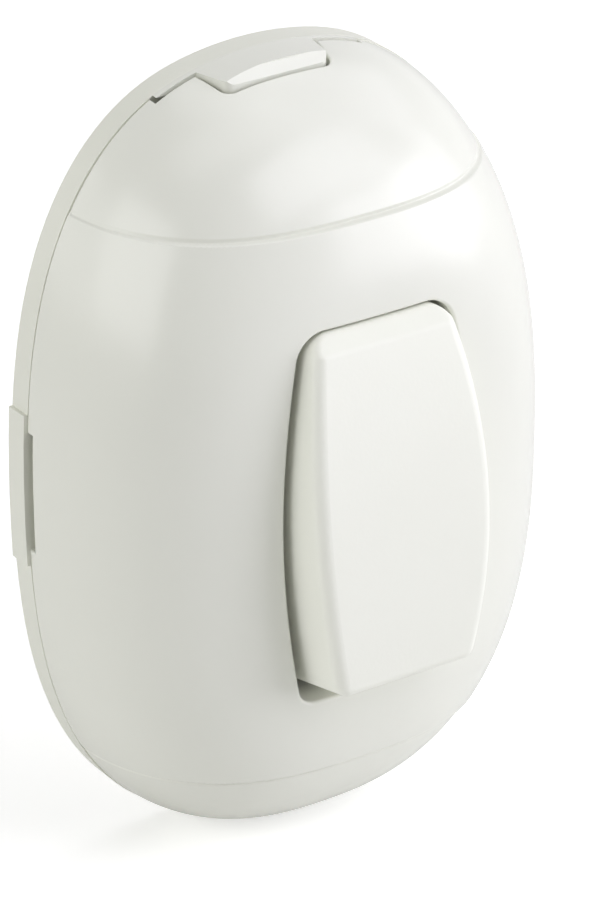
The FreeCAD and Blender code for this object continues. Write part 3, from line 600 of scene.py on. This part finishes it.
def rounded(
    before: Vector, corner: Vector, after: Vector, radius: float, steps: int = 8
) -> list[Vector]:
    """Rounds a corner between two straight lines.

    Args:
        before: the point before the corner.
        corner: the corner.
        after: the point after the corner.
        radius: the rounding's radius.
        steps: how many steps the rounding has.

    Returns:
        Points along the rounding.
    """
    back, ahead = (before - corner).normalized(), (after - corner).normalized()
    half = back.angle(ahead) / 2
    start, end = corner + back * radius / math.tan(half), corner + ahead * radius / math.tan(half)
    middle = corner + (back + ahead).normalized() * radius / math.sin(half)
    sweep = math.pi - 2 * half
    points = []
    for k in range(steps + 1):
        share = k / steps
        first, last = math.sin((1 - share) * sweep), math.sin(share * sweep)
        way = ((start - middle) * first + (end - middle) * last) / math.sin(sweep)
        points.append(middle + way)
    return points


@dataclass
class Moulding:
    """Collects faces with a direction for every corner, and welds what meets.

    Points count as one when they agree to one part in per_mm of a millimetre.
    """

    points: list[tuple[float, float, float]] = field(default_factory=list)
    found: dict[tuple[int, ...], int] = field(default_factory=dict)
    faces: list[list[int]] = field(default_factory=list)
    directions: list[Vector] = field(default_factory=list)
    per_mm: float = 1e4

    def weld(self, point: Vector) -> int:
        """Finds the number of a point, and adds the point if it is new.

        Args:
            point: x, depth and z in millimetres.

        Returns:
            The number.
        """
        key = tuple(round(size * self.per_mm) for size in point)
        if key not in self.found:
            self.found[key] = len(self.points)
            self.points.append((point.x * MM, -point.y * MM, point.z * MM))
        return self.found[key]

    def face(self, corners: list[tuple[Vector, Vector]]) -> None:
        """Adds a face, turned to face outward.

        Args:
            corners: pairs of a point and an outward direction.
        """
        numbers = [self.weld(point) for point, _ in corners]
        kept = [k for k in range(len(numbers)) if numbers[k] != numbers[k - 1]]
        if len(kept) < 3:
            return
        spots = [Vector(self.points[numbers[k]]) for k in kept]
        outward = [Vector((corners[k][1].x, -corners[k][1].y, corners[k][1].z)) for k in kept]
        turned = (spots[1] - spots[0]).cross(spots[2] - spots[1])
        if turned.dot(outward[0] + outward[1] + outward[2]) < 0:
            kept.reverse()
            outward.reverse()
        self.faces.append([numbers[k] for k in kept])
        self.directions += outward

    def strip(
        self,
        first: list[tuple[Vector, Vector]],
        second: list[tuple[Vector, Vector]],
    ) -> None:
        """Joins two closed loops with a strip of faces.

        Args:
            first: pairs of a point and a direction.
            second: as many pairs, for the other edge.
        """
        for k in range(len(first)):
            self.face([first[k - 1], first[k], second[k], second[k - 1]])

    def skin(
        self,
        surface: Dome | SteppedDome,
        layout: Dome,
        loops: list[list[tuple[float, float]]],
        spots: list[tuple[float, float]],
        side: int,
    ) -> None:
        """Covers a dome between an outer and an inner loop.

        Args:
            surface: the dome whose points and directions are used.
            layout: the dome that lays the places out flat.
            loops: the outer and the inner loop, as climbs and turns.
            spots: places between the loops.
            side: 1 to look out of the dome and -1 to look into it.
        """
        places = loops[0] + loops[1] + spots
        rings = [list(range(len(loops[0])))]
        rings.append([len(loops[0]) + k for k in range(len(loops[1]))])
        flat = [layout.flat(climb, turn) for climb, turn in places]
        made = delaunay_2d_cdt(flat, [], rings, 1, JOIN_WITHIN)
        _, _, faces, origins, _, owners = made
        corners = {}
        for number, origin in enumerate(origins):
            climb, turn = places[origin[0]]
            way = normal_of(surface, climb, turn) * side
            corners[number] = (surface.point(climb, turn), way)
        for face, owner in zip(faces, owners):
            if 1 not in owner:
                self.face([corners[number] for number in face])

    def build(self, name: str) -> bpy.types.Object:
        """Makes the object from what was collected.

        Args:
            name: its name.

        Returns:
            The new object, linked to the scene.
        """
        mesh = bpy.data.meshes.new(name)
        mesh.from_pydata(self.points, [], self.faces)
        mesh.shade_smooth()
        mesh.normals_split_custom_set([tuple(way) for way in self.directions])
        made = bpy.data.objects.new(name, mesh)
        bpy.context.scene.collection.objects.link(made)
        return made


@dataclass
class Cover:
    """The moulded cover, drawn from the curves that its tool was cut to.

    Sizes are in millimetres and agree with the part's own. The pry notch has its two
    ends and its depth, and the entry's stem its half widths at root and tip and its
    depth. A rib has its radius, height, near end and far end. The rest is how closely
    the skins are divided, and how far their places keep off creases and cut-outs.
    """

    outside: SteppedDome = SteppedDome()
    inside: Dome = Dome(21.55, 33.2, 1.9, 17.52)
    mouth: Mouth = Mouth()
    rim: float = 2.4
    rounding: float = 0.35
    softening: float = 0.2
    collar_wall: float = 1.1
    collar_depth: float = 13.0
    pry: tuple[float, float, float] = (-4.6, 6.1, 3.15)
    entry_middle: float = -1.1
    shoulders: tuple[float, float] = (9.65, 10.45)
    shoulder_depth: float = 3.25
    stem: tuple[float, float, float] = (5.85, 5.15, 6.95)
    stem_corner: float = 1.15
    rib: tuple[float, float, float, float] = (0.6, 14.0, 2.4, 7.4)
    rib_proud: float = 0.35
    rib_around: int = 20
    rings: int = 34
    around: int = 232
    climbs_deg: tuple[float, float] = (1.2, 78.0)
    inner_rings: int = 16
    inner_around: int = 96
    inner_climbs_deg: tuple[float, float] = (4.0, 74.0)
    inner_clear: tuple[float, float] = (11.2, 18.6)
    crease_clear: tuple[float, float] = (-0.5, 1.1)
    crease_rows: tuple[float, float, float] = (-0.3, -0.12, 0.95)
    crease_steps: int = 55
    riser_steps: int = 7
    groove_steps: int = 6
    mouth_clear: float = 0.3
    cut_clear: float = 0.5
    notch_steps: int = 16
    top_edge_steps: int = 44
    low_edge_steps: int = 96
    entry_steps: tuple[int, ...] = (2, 10, 6, 1, 1, 1, 1, 1, 1, 1, 1)
    front_steps: int = 12
    lip_steps: int = 6
    rim_steps: int = 3

    def build(self) -> bpy.types.Object:
        """Makes the cover and puts it in the place of the plain one.

        Returns:
            The cover's object.
        """
        moulding = Moulding()
        band = self.outside.band
        outer = self.edge(band, self.outside.cap, self.softening)
        inner = self.edge(self.inside, self.inside)
        outline = self.mouth.outline()
        lip = [spot + way * self.rounding for spot, way in outline]
        hole = [band.place(spot.x, spot.y) for spot in lip]
        spots = self.ring_spots() + self.crease_spots()
        moulding.skin(self.outside, band, [outer, hole], spots, 1)
        grown = [spot + way * self.collar_wall for spot, way in outline]
        under = [self.inside.place(spot.x, spot.y) for spot in grown]
        foot = self.round_lip(moulding, outline)
        self.line_mouth(moulding, outline, foot, under)
        moulding.skin(self.inside, self.inside, [inner, under], self.inner_spots(), -1)
        self.close_rim(moulding, inner)
        self.add_ribs(moulding)
        made = moulding.build("cover_moulding")
        dress(made, COVER_ABS)
        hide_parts("cover")
        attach(made, "cover")
        return made

    def edge(self, sides: Dome, top: Dome, back: float = 0.0) -> list[tuple[float, float]]:
        """The free edge on one skin, with the notches and the cable entry in it.

        Args:
            sides: the dome at the notches.
            top: the dome at the cable entry.
            back: how far the line lies back from the edge itself.

        Returns:
            Climbs and turns, counter-clockwise as seen from the front.
        """
        low, high, deep = self.pry
        low, high, deep, rim = low - back, high + back, deep + back, self.rim + back
        entry = [top.at_width(x, depth) for x, depth in self.entry_path(back)]
        notch = [(low, rim), (low, deep)]
        steps = self.notch_steps
        notch += [(low + (high - low) * k / steps, deep) for k in range(1, steps)]
        notch += [(high, deep), (high, rim)]
        right = [sides.at_height(z, depth, 1) for z, depth in notch]
        left = [sides.at_height(z, depth, -1) for z, depth in reversed(notch)]
        again = (right[0][0], right[0][1] + 2 * math.pi)
        loop = right + between(right[-1], entry[0], self.top_edge_steps) + entry
        loop += between(entry[-1], left[0], self.top_edge_steps) + left
        return loop + between(left[-1], again, self.low_edge_steps)

    def entry_path(self, back: float) -> list[tuple[float, float]]:
        """Draws the cable entry's outline.

        Args:
            back: how far the line lies back from the edge itself.

        Returns:
            Widths and depths, from right to left.
        """
        root, tip, front = (size + back for size in self.stem)
        inside = Vector((root, self.shoulder_depth + back))
        over = Vector((0.0, front))
        halves = []
        for shoulder in self.shoulders:
            wide = shoulder + back
            line = [Vector((wide, self.rim + back)), Vector((wide, inside.y)), inside]
            line += rounded(inside, Vector((tip, front)), over, self.stem_corner + back)
            half = [line[0]]
            for start, end, pieces in zip(line, line[1:], self.entry_steps):
                half += [start.lerp(end, k / pieces) for k in range(1, pieces + 1)]
            shares = [k / self.front_steps for k in range(1, self.front_steps)]
            halves.append(half + [line[-1].lerp(over, share) for share in shares])
        middle = self.entry_middle
        right = [(middle + point.x, point.y) for point in halves[1]]
        left = [(middle - point.x, point.y) for point in reversed(halves[0])]
        return right + [(middle, front)] + left

    def ring_spots(self) -> list[tuple[float, float]]:
        """Spreads places over the outside, clear of the creases.

        Returns:
            Climbs and turns.
        """
        spots = []
        first, span = self.climbs_deg
        above, below = self.crease_clear
        for ring in range(1, self.rings):
            climb = math.radians(first + span * ring / self.rings)
            for step in range(self.around):
                turn = 2 * math.pi * (step + ring % 2 / 2) / self.around
                past = abs(self.outside.band.point(climb, turn).z) - self.outside.crease
                if not above < past < below and self.clear(climb, turn):
                    spots.append((climb, turn))
        return spots

    def clear(self, climb: float, turn: float) -> bool:
        """Tells whether a place keeps off the mouth and the cut-outs of the edge.

        Args:
            climb: the place's climb.
            turn: the place's turn.

        Returns:
            True where it does.
        """
        spot = self.outside.point(climb, turn)
        near = self.rounding + self.mouth_clear
        side = self.mouth.half - self.mouth.bow + math.sqrt(self.mouth.bow**2 - spot.z**2)
        if abs(spot.x) < side + near and -self.mouth.low - near < spot.z < self.mouth.top + near:
            return False
        cut = self.cut_clear
        low, high, deep = self.pry
        if low - cut < spot.z < high + cut and spot.y < deep + cut:
            return False
        off = abs(spot.x - self.entry_middle)
        reach = self.shoulders[int(spot.x > self.entry_middle)] + cut
        if spot.z > 0 and off < reach and spot.y < self.shoulder_depth + cut:
            return False
        root, _, front = self.stem
        return not (spot.z > 0 and off < root + cut and spot.y < front + cut)

    def crease_spots(self) -> list[tuple[float, float]]:
        """Lays close rows of places along both creases, which their section needs.

        Returns:
            Climbs and turns.
        """
        band, foot, groove = self.outside.band, self.outside.riser, self.outside.groove_wide
        first, second, last = self.crease_rows
        risers, grooves = self.riser_steps, self.groove_steps
        rows = [first, second] + [foot * k / risers for k in range(risers + 1)]
        rows += [foot + groove * k / grooves for k in range(1, grooves + 1)]
        rows += [foot + groove - second, last]
        spots = []
        for row in rows:
            height = self.outside.crease + row
            share = 1 - (height / band.half_height) ** band.outline_power
            reach = band.half_width * share ** (1 / band.outline_power)
            for step in range(1 - self.crease_steps, self.crease_steps):
                x = reach * math.sin(math.pi / 2 * step / self.crease_steps)
                climb, turn = band.place(x, height)
                spots += [(climb, turn), (climb, -turn)]
        return spots

    def inner_spots(self) -> list[tuple[float, float]]:
        """Spreads places over the inside, clear of the collar.

        Returns:
            Climbs and turns.
        """
        spots = []
        first, span = self.inner_climbs_deg
        wide, tall = self.inner_clear
        for ring in range(2, self.inner_rings):
            climb = math.radians(first + span * ring / self.inner_rings)
            for step in range(self.inner_around):
                turn = 2 * math.pi * (step + ring % 2 / 2) / self.inner_around
                spot = self.inside.point(climb, turn)
                if abs(spot.x) > wide or abs(spot.z) > tall:
                    spots.append((climb, turn))
        return spots

    def round_lip(
        self, moulding: Moulding, outline: list[tuple[Vector, Vector]]
    ) -> list[tuple[Vector, Vector]]:
        """Rolls the outside over into the mouth.

        Args:
            moulding: what the faces are added to.
            outline: the mouth's points and the directions away from it.

        Returns:
            The roll's last loop, with its directions.
        """
        band, loops = self.outside.band, []
        for step in range(self.lip_steps + 1):
            angle = math.pi / 2 * step / self.lip_steps
            loop = []
            for spot, way in outline:
                edge = spot + way * self.rounding
                climb, turn = band.place(edge.x, edge.y)
                out = normal_of(band, climb, turn)
                here = spot + way * self.rounding * (1 - math.sin(angle))
                depth = band.depth(band.place(here.x, here.y)[0])
                point = Vector((here.x, depth - self.rounding * (1 - math.cos(angle)), here.y))
                if step == 0:
                    point = self.outside.point(climb, turn)
                inward = Vector((-way.x, 0.0, -way.y))
                leaned = out * math.cos(angle) + inward * math.sin(angle)
                loop.append((point, leaned.normalized()))
            loops.append(loop)
        for first, second in zip(loops, loops[1:]):
            moulding.strip(first, second)
        return loops[-1]

    def line_mouth(
        self,
        moulding: Moulding,
        outline: list[tuple[Vector, Vector]],
        foot: list[tuple[Vector, Vector]],
        under: list[tuple[float, float]],
    ) -> None:
        """Adds the mouth's own wall, the collar's end and the collar's outside.

        Args:
            moulding: what the faces are added to.
            outline: the mouth's points and the directions away from it.
            foot: the last loop of the rolled lip.
            under: places on the inside that the collar runs into.
        """
        ways = [Vector((way.x, 0.0, way.y)) for _, way in outline]
        near = [Vector((spot.x, self.collar_depth, spot.y)) for spot, _ in outline]
        far = [point + way * self.collar_wall for point, way in zip(near, ways)]
        back = Vector((0.0, -1.0, 0.0))
        moulding.strip(foot, [(point, -way) for point, way in zip(near, ways)])
        moulding.strip([(point, back) for point in near], [(point, back) for point in far])
        joined = [self.inside.point(climb, turn) for climb, turn in under]
        moulding.strip(list(zip(far, ways)), list(zip(joined, ways)))

    def close_rim(self, moulding: Moulding, inner: list[tuple[float, float]]) -> None:
        """Joins the two skins along the free edge, which is softened outside.

        Args:
            moulding: what the faces are added to.
            inner: the edge's places on the inside.
        """
        band, cap = self.outside.band, self.outside.cap
        second = [self.inside.point(climb, turn) for climb, turn in inner]
        first = [self.outside.point(climb, turn) for climb, turn in self.edge(band, cap)]
        inward = [(far - near).normalized() for near, far in zip(first, second)]
        ways = []
        for k, point in enumerate(first):
            along = point - first[k - 1]
            ways.append(along.cross(inward[k - 1]).normalized())
        loops = []
        for step in range(self.rim_steps + 1):
            lean = math.pi / 2 * step / self.rim_steps
            places = self.edge(band, cap, self.softening * (1 - math.sin(lean)))
            inset = self.softening * (1 - math.cos(lean))
            loop = []
            for (climb, turn), way in zip(places, inward):
                out = normal_of(self.outside, climb, turn) * math.cos(lean)
                loop.append((self.outside.point(climb, turn) + way * inset, out))
            loops.append((math.sin(lean), loop))
        loops.append((1.0, [(point, Vector()) for point in second]))
        for (low, near), (high, far) in zip(loops, loops[1:]):
            for k, way in enumerate(ways):
                corners = [(near[k - 1], low), (near[k], low), (far[k], high), (far[k - 1], high)]
                moulding.face(
                    [(point, (out + way * share).normalized()) for (point, out), share in corners]
                )

    def add_ribs(self, moulding: Moulding) -> None:
        """Adds the four upright ribs that grip the plate's spigot.

        Args:
            moulding: what the faces are added to.
        """
        radius, height, near, far = self.rib
        share = 1 - (height / self.inside.half_height) ** self.inside.outline_power
        reach = self.inside.half_width * share ** (1 / self.inside.outline_power)
        for side in (1, -1):
            for up in (1, -1):
                middle = Vector(((reach - self.rib_proud + radius) * side, 0.0, height * up))
                turns = [2 * math.pi * k / self.rib_around for k in range(self.rib_around)]
                ways = [Vector((math.cos(turn), 0.0, math.sin(turn))) for turn in turns]
                ends = []
                for depth in (near, far):
                    lift = Vector((0.0, depth, 0.0))
                    ends.append([(middle + lift + way * radius, way) for way in ways])
                moulding.strip(*ends)
                for end, look in zip(ends, (-1.0, 1.0)):
                    moulding.face([(point, Vector((0.0, look, 0.0))) for point, _ in end])


def dress(piece: bpy.types.Object, finish: MouldedPlastic | BareMetal) -> None:
    """Gives a piece its finish, made once for all the pieces that share it.

    Args:
        piece: the piece.
        finish: its finish.
    """
    piece.data.materials.clear()
    piece.data.materials.append(bpy.data.materials.get(finish.name) or finish.build())
    log.info("%s dressed in %s", piece.name, finish.name)


@dataclass
class Mechanism:
    """The CAD nodes that keep their own shapes, each with its finish.

    The moulded ones listed in softened_mm also get soft edges where faces meet at more than
    sharp_deg.
    """

    finishes: dict[str, MouldedPlastic | BareMetal] = field(
        default_factory=lambda: {
            "back_plate": PLATE_ABS,
            "cable_entry_blank": COVER_ABS,
            "push_button": BUTTON_ABS,
            "rocker_frame": IVORY_NYLON,
            "contact_block": IVORY_NYLON,
            "pivot_pin": PIN_STEEL,
            "block_screws": SCREW_ZINC,
            "fixed_contact": STRIP_BRASS,
            "moving_contact": LEAF_BRONZE,
            "fixed_contact_tip": TIP_SILVER,
            "moving_contact_tip": TIP_SILVER,
            "terminal_inserts": SCREW_BRASS,
            "terminal_washers": STRIP_BRASS,
            "terminal_screws": SCREW_BRASS,
            "return_spring": SPRING_STEEL,
        }
    )
    softened_mm: dict[str, float] = field(
        default_factory=lambda: {
            "back_plate": 0.18,
            "cable_entry_blank": 0.2,
            "rocker_frame": 0.1,
            "contact_block": 0.1,
        }
    )
    soft_steps: int = 3
    sharp_deg: float = 35.0

    def build(self) -> None:
        """Gives every kept node its finish, and the ones in softened_mm their soft edges."""
        for name, finish in self.finishes.items():
            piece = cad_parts[name]
            dress(piece, finish)
            if name in self.softened_mm:
                soften = piece.modifiers.new("soft_edges", "BEVEL")
                soften.width = self.softened_mm[name] * MM
                soften.segments = self.soft_steps
                soften.limit_method = "ANGLE"
                soften.angle_limit = math.radians(self.sharp_deg)
                soften.harden_normals = True


@dataclass(frozen=True)
class Springing:
    """The spring metal under the rocker: the coil, and the leaf with the rivet in it.

    As the button goes in, the coil shortens towards its foot, and the leaf and the rivet
    sink together towards the flat end of the leaf, which the terminal holds. Here each
    piece is only swapped for a plain copy tied to the base, and how far it would give
    way is worked out and logged. A lever is the distance from the pin to where the
    rocker presses.
    """

    body: str = "base"
    joint: str = "button_press"
    swing_deg: float = 6.3
    coil_lever_mm: float = 9.0
    leaf_lever_mm: float = 12.4
    nose_gap_mm: float = 0.2

    def build(self) -> None:
        """Swaps the three pieces for plain copies, and logs how far each would give way."""
        low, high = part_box("return_spring")
        sunk = self.drop(self.coil_lever_mm)
        self.give("return_spring", sunk / (high.y - low.y))
        low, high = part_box("moving_contact")
        sunk = self.drop(self.leaf_lever_mm) - self.nose_gap_mm * MM
        for node, slot in (("moving_contact", "bronze"), ("moving_contact_tip", "silver")):
            self.give(node, sunk / (high.y - low.y))

    def drop(self, lever_mm: float) -> float:
        """How far the rocker goes in, in metres, at a distance below the pin."""
        return lever_mm * MM * math.sin(math.radians(self.swing_deg))

    def give(self, node: str, share: float) -> None:
        """Swaps a node for a plain copy of it, tied to the body.

        Args:
            node: the node's name.
            share: the part of the height that would be gone when the button is right in, which is
                only logged.
        """
        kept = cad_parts[node]
        made = bpy.data.objects.new(f"{node}_sprung", kept.data.copy())
        bpy.context.scene.collection.objects.link(made)
        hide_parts(node)
        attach(made, self.body)
        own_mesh(made)
        log.info("%s gives way by %.0f%%", made.name, share * 100)


def way_to(azimuth: float, elevation: float) -> Vector:
    """Finds the direction from the push to a place round it.

    Args:
        azimuth: degrees round from the front, to the right when above 0.
        elevation: degrees up.

    Returns:
        The direction, of length 1.
    """
    around, up = math.radians(azimuth), math.radians(elevation)
    level = math.cos(up)
    return Vector((math.sin(around) * level, -math.cos(around) * level, math.sin(up)))


@dataclass
class Viewpoint:
    """The photograph's camera, in degrees and millimetres.

    It looks at the middle of the push's back, from the front left and above.
    """

    azimuth: float = -33.07
    elevation: float = 25.96
    roll: float = 0.57
    distance_mm: float = 448.7
    lens_mm: float = 211.4
    shift: tuple[float, float] = (0.0589, -0.0337)
    sensor_mm: float = 36.0
    clip_m: tuple[float, float] = (0.01, 20.0)

    def build(self) -> bpy.types.Object:
        """Adds the camera and makes it the scene's own.

        Returns:
            The camera.
        """
        back = way_to(self.azimuth, self.elevation)
        around = math.radians(self.azimuth)
        right = Vector((math.cos(around), math.sin(around), 0.0))
        above = back.cross(right)
        turn = math.radians(self.roll)
        across = right * math.cos(turn) - above * math.sin(turn)
        along = right * math.sin(turn) + above * math.cos(turn)
        data = bpy.data.cameras.new("camera")
        data.sensor_width = self.sensor_mm
        data.lens = self.lens_mm
        data.shift_x, data.shift_y = self.shift
        data.clip_start, data.clip_end = self.clip_m
        camera = bpy.data.objects.new("camera", data)
        bpy.context.scene.collection.objects.link(camera)
        camera.matrix_world = Matrix.Translation(back * self.distance_mm * MM) @ Matrix(
            (across, along, back)
        ).transposed().to_4x4()
        bpy.context.scene.camera = camera
        return camera


@dataclass
class Softbox:
    """One soft lamp, by where it hangs as seen from the front of the push.

    Angles are in degrees, lengths in metres and the power in watts.
    """

    name: str
    azimuth: float
    elevation: float
    distance: float
    width: float
    height: float
    watts: float
    colour: str = "#FFFFFF"

    def build(self) -> bpy.types.Object:
        """Adds the lamp, turned to face the push.

        Returns:
            The lamp.
        """
        out = way_to(self.azimuth, self.elevation)
        data = bpy.data.lights.new(self.name, "AREA")
        data.shape = "RECTANGLE"
        data.size, data.size_y = self.width, self.height
        data.energy = self.watts
        data.color = to_linear(self.colour)[:3]
        lamp = bpy.data.objects.new(self.name, data)
        lamp.location = out * self.distance
        lamp.rotation_mode = "QUATERNION"
        lamp.rotation_quaternion = out.to_track_quat("Z", "Y")
        bpy.context.scene.collection.objects.link(lamp)
        return lamp


@dataclass
class Studio:
    """Pale floor, white surround and soft lamps.

    The key and front lamps give the broad highlight at the upper right, and the window
    lamp gives the bright patch at the left.
    """

    floor_tone: str = "#F4F4F2"
    floor_roughness: float = 0.9
    floor_glow: float = 0.45
    reach: float = 0.8
    lamps: tuple[Softbox, ...] = (
        Softbox("key", 29, 46, 0.9, 0.65, 0.48, 2.45, "#F8F7FF"),
        Softbox("front", 46, 12, 0.9, 0.6, 0.5, 3.75, "#F8F7FF"),
        Softbox("side", 65, 14, 0.9, 0.6, 0.5, 1.7, "#F8F7FF"),
        Softbox("right", 95, 45, 0.9, 0.6, 0.45, 0.9, "#F8F7FF"),
        Softbox("top", 0, 86, 0.9, 1.0, 0.4, 1.3),
        Softbox("behind", 150, 65, 0.9, 0.6, 0.5, 1.1),
        Softbox("window", -88, 21, 0.9, 0.7, 0.62, 3.6),
        Softbox("left", -130, 15, 0.9, 0.6, 0.5, 0.95),
    )

    def build(self, low: float) -> None:
        """Adds the floor under the push, the surround and the lamps.

        Args:
            low: the height of the push's lowest point, in metres.
        """
        self.light_surround()
        self.lay_floor(low)
        for lamp in self.lamps:
            lamp.build()
        bpy.context.scene.view_settings.view_transform = "Standard"

    def light_surround(self) -> None:
        """Shows white where nothing stands, without lighting the push from all round."""
        world = bpy.data.worlds.new("surround")
        world.use_nodes = True
        tree = world.node_tree
        rays = add_node(tree, "ShaderNodeLightPath")
        seen = add_node(
            tree,
            "ShaderNodeMath",
            {"operation": "MAXIMUM"},
            links={0: rays.outputs["Is Camera Ray"], 1: rays.outputs["Is Transmission Ray"]},
        )
        shown = add_node(
            tree,
            "ShaderNodeMath",
            {"operation": "MAXIMUM"},
            links={0: seen.outputs[0], 1: rays.outputs["Is Glossy Ray"]},
        )
        backdrop = tree.nodes["Background"]
        tree.links.new(shown.outputs[0], backdrop.inputs["Strength"])
        backdrop.inputs["Color"].default_value = (1.0, 1.0, 1.0, 1.0)
        bpy.context.scene.world = world

    def lay_floor(self, low: float) -> None:
        """Lays the floor, which takes the push's shadow and shows nearly white.

        Args:
            low: the height of the floor, in metres.
        """
        mesh = bpy.data.meshes.new("floor")
        far = self.reach
        mesh.from_pydata(
            [(-far, -far, low), (far, -far, low), (far, far, low), (-far, far, low)],
            [],
            [(0, 1, 2, 3)],
        )
        floor = bpy.data.objects.new("floor", mesh)
        bpy.context.scene.collection.objects.link(floor)
        material = bpy.data.materials.new("floor_paper")
        material.use_nodes = True
        tree = material.node_tree
        shader = tree.nodes["Principled BSDF"]
        shader.inputs["Base Color"].default_value = to_linear(self.floor_tone)
        shader.inputs["Roughness"].default_value = self.floor_roughness
        shader.inputs["Emission Color"].default_value = (1.0, 1.0, 1.0, 1.0)
        rays = add_node(tree, "ShaderNodeLightPath")
        glow = add_node(
            tree,
            "ShaderNodeMath",
            {"operation": "MULTIPLY"},
            {1: self.floor_glow},
            {0: rays.outputs["Is Camera Ray"]},
        )
        tree.links.new(glow.outputs[0], shader.inputs["Emission Strength"])
        mesh.materials.append(material)
        floor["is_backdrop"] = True


def main() -> None:
    """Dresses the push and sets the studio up."""
    logging.basicConfig(level=logging.INFO, format="%(message)s")
    cad_low, cad_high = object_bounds()
    Cover().build()
    Mechanism().build()
    Springing().build()
    Studio().build(cad_low.z)
    Viewpoint().build()


if __name__ == "__main__":
    main()
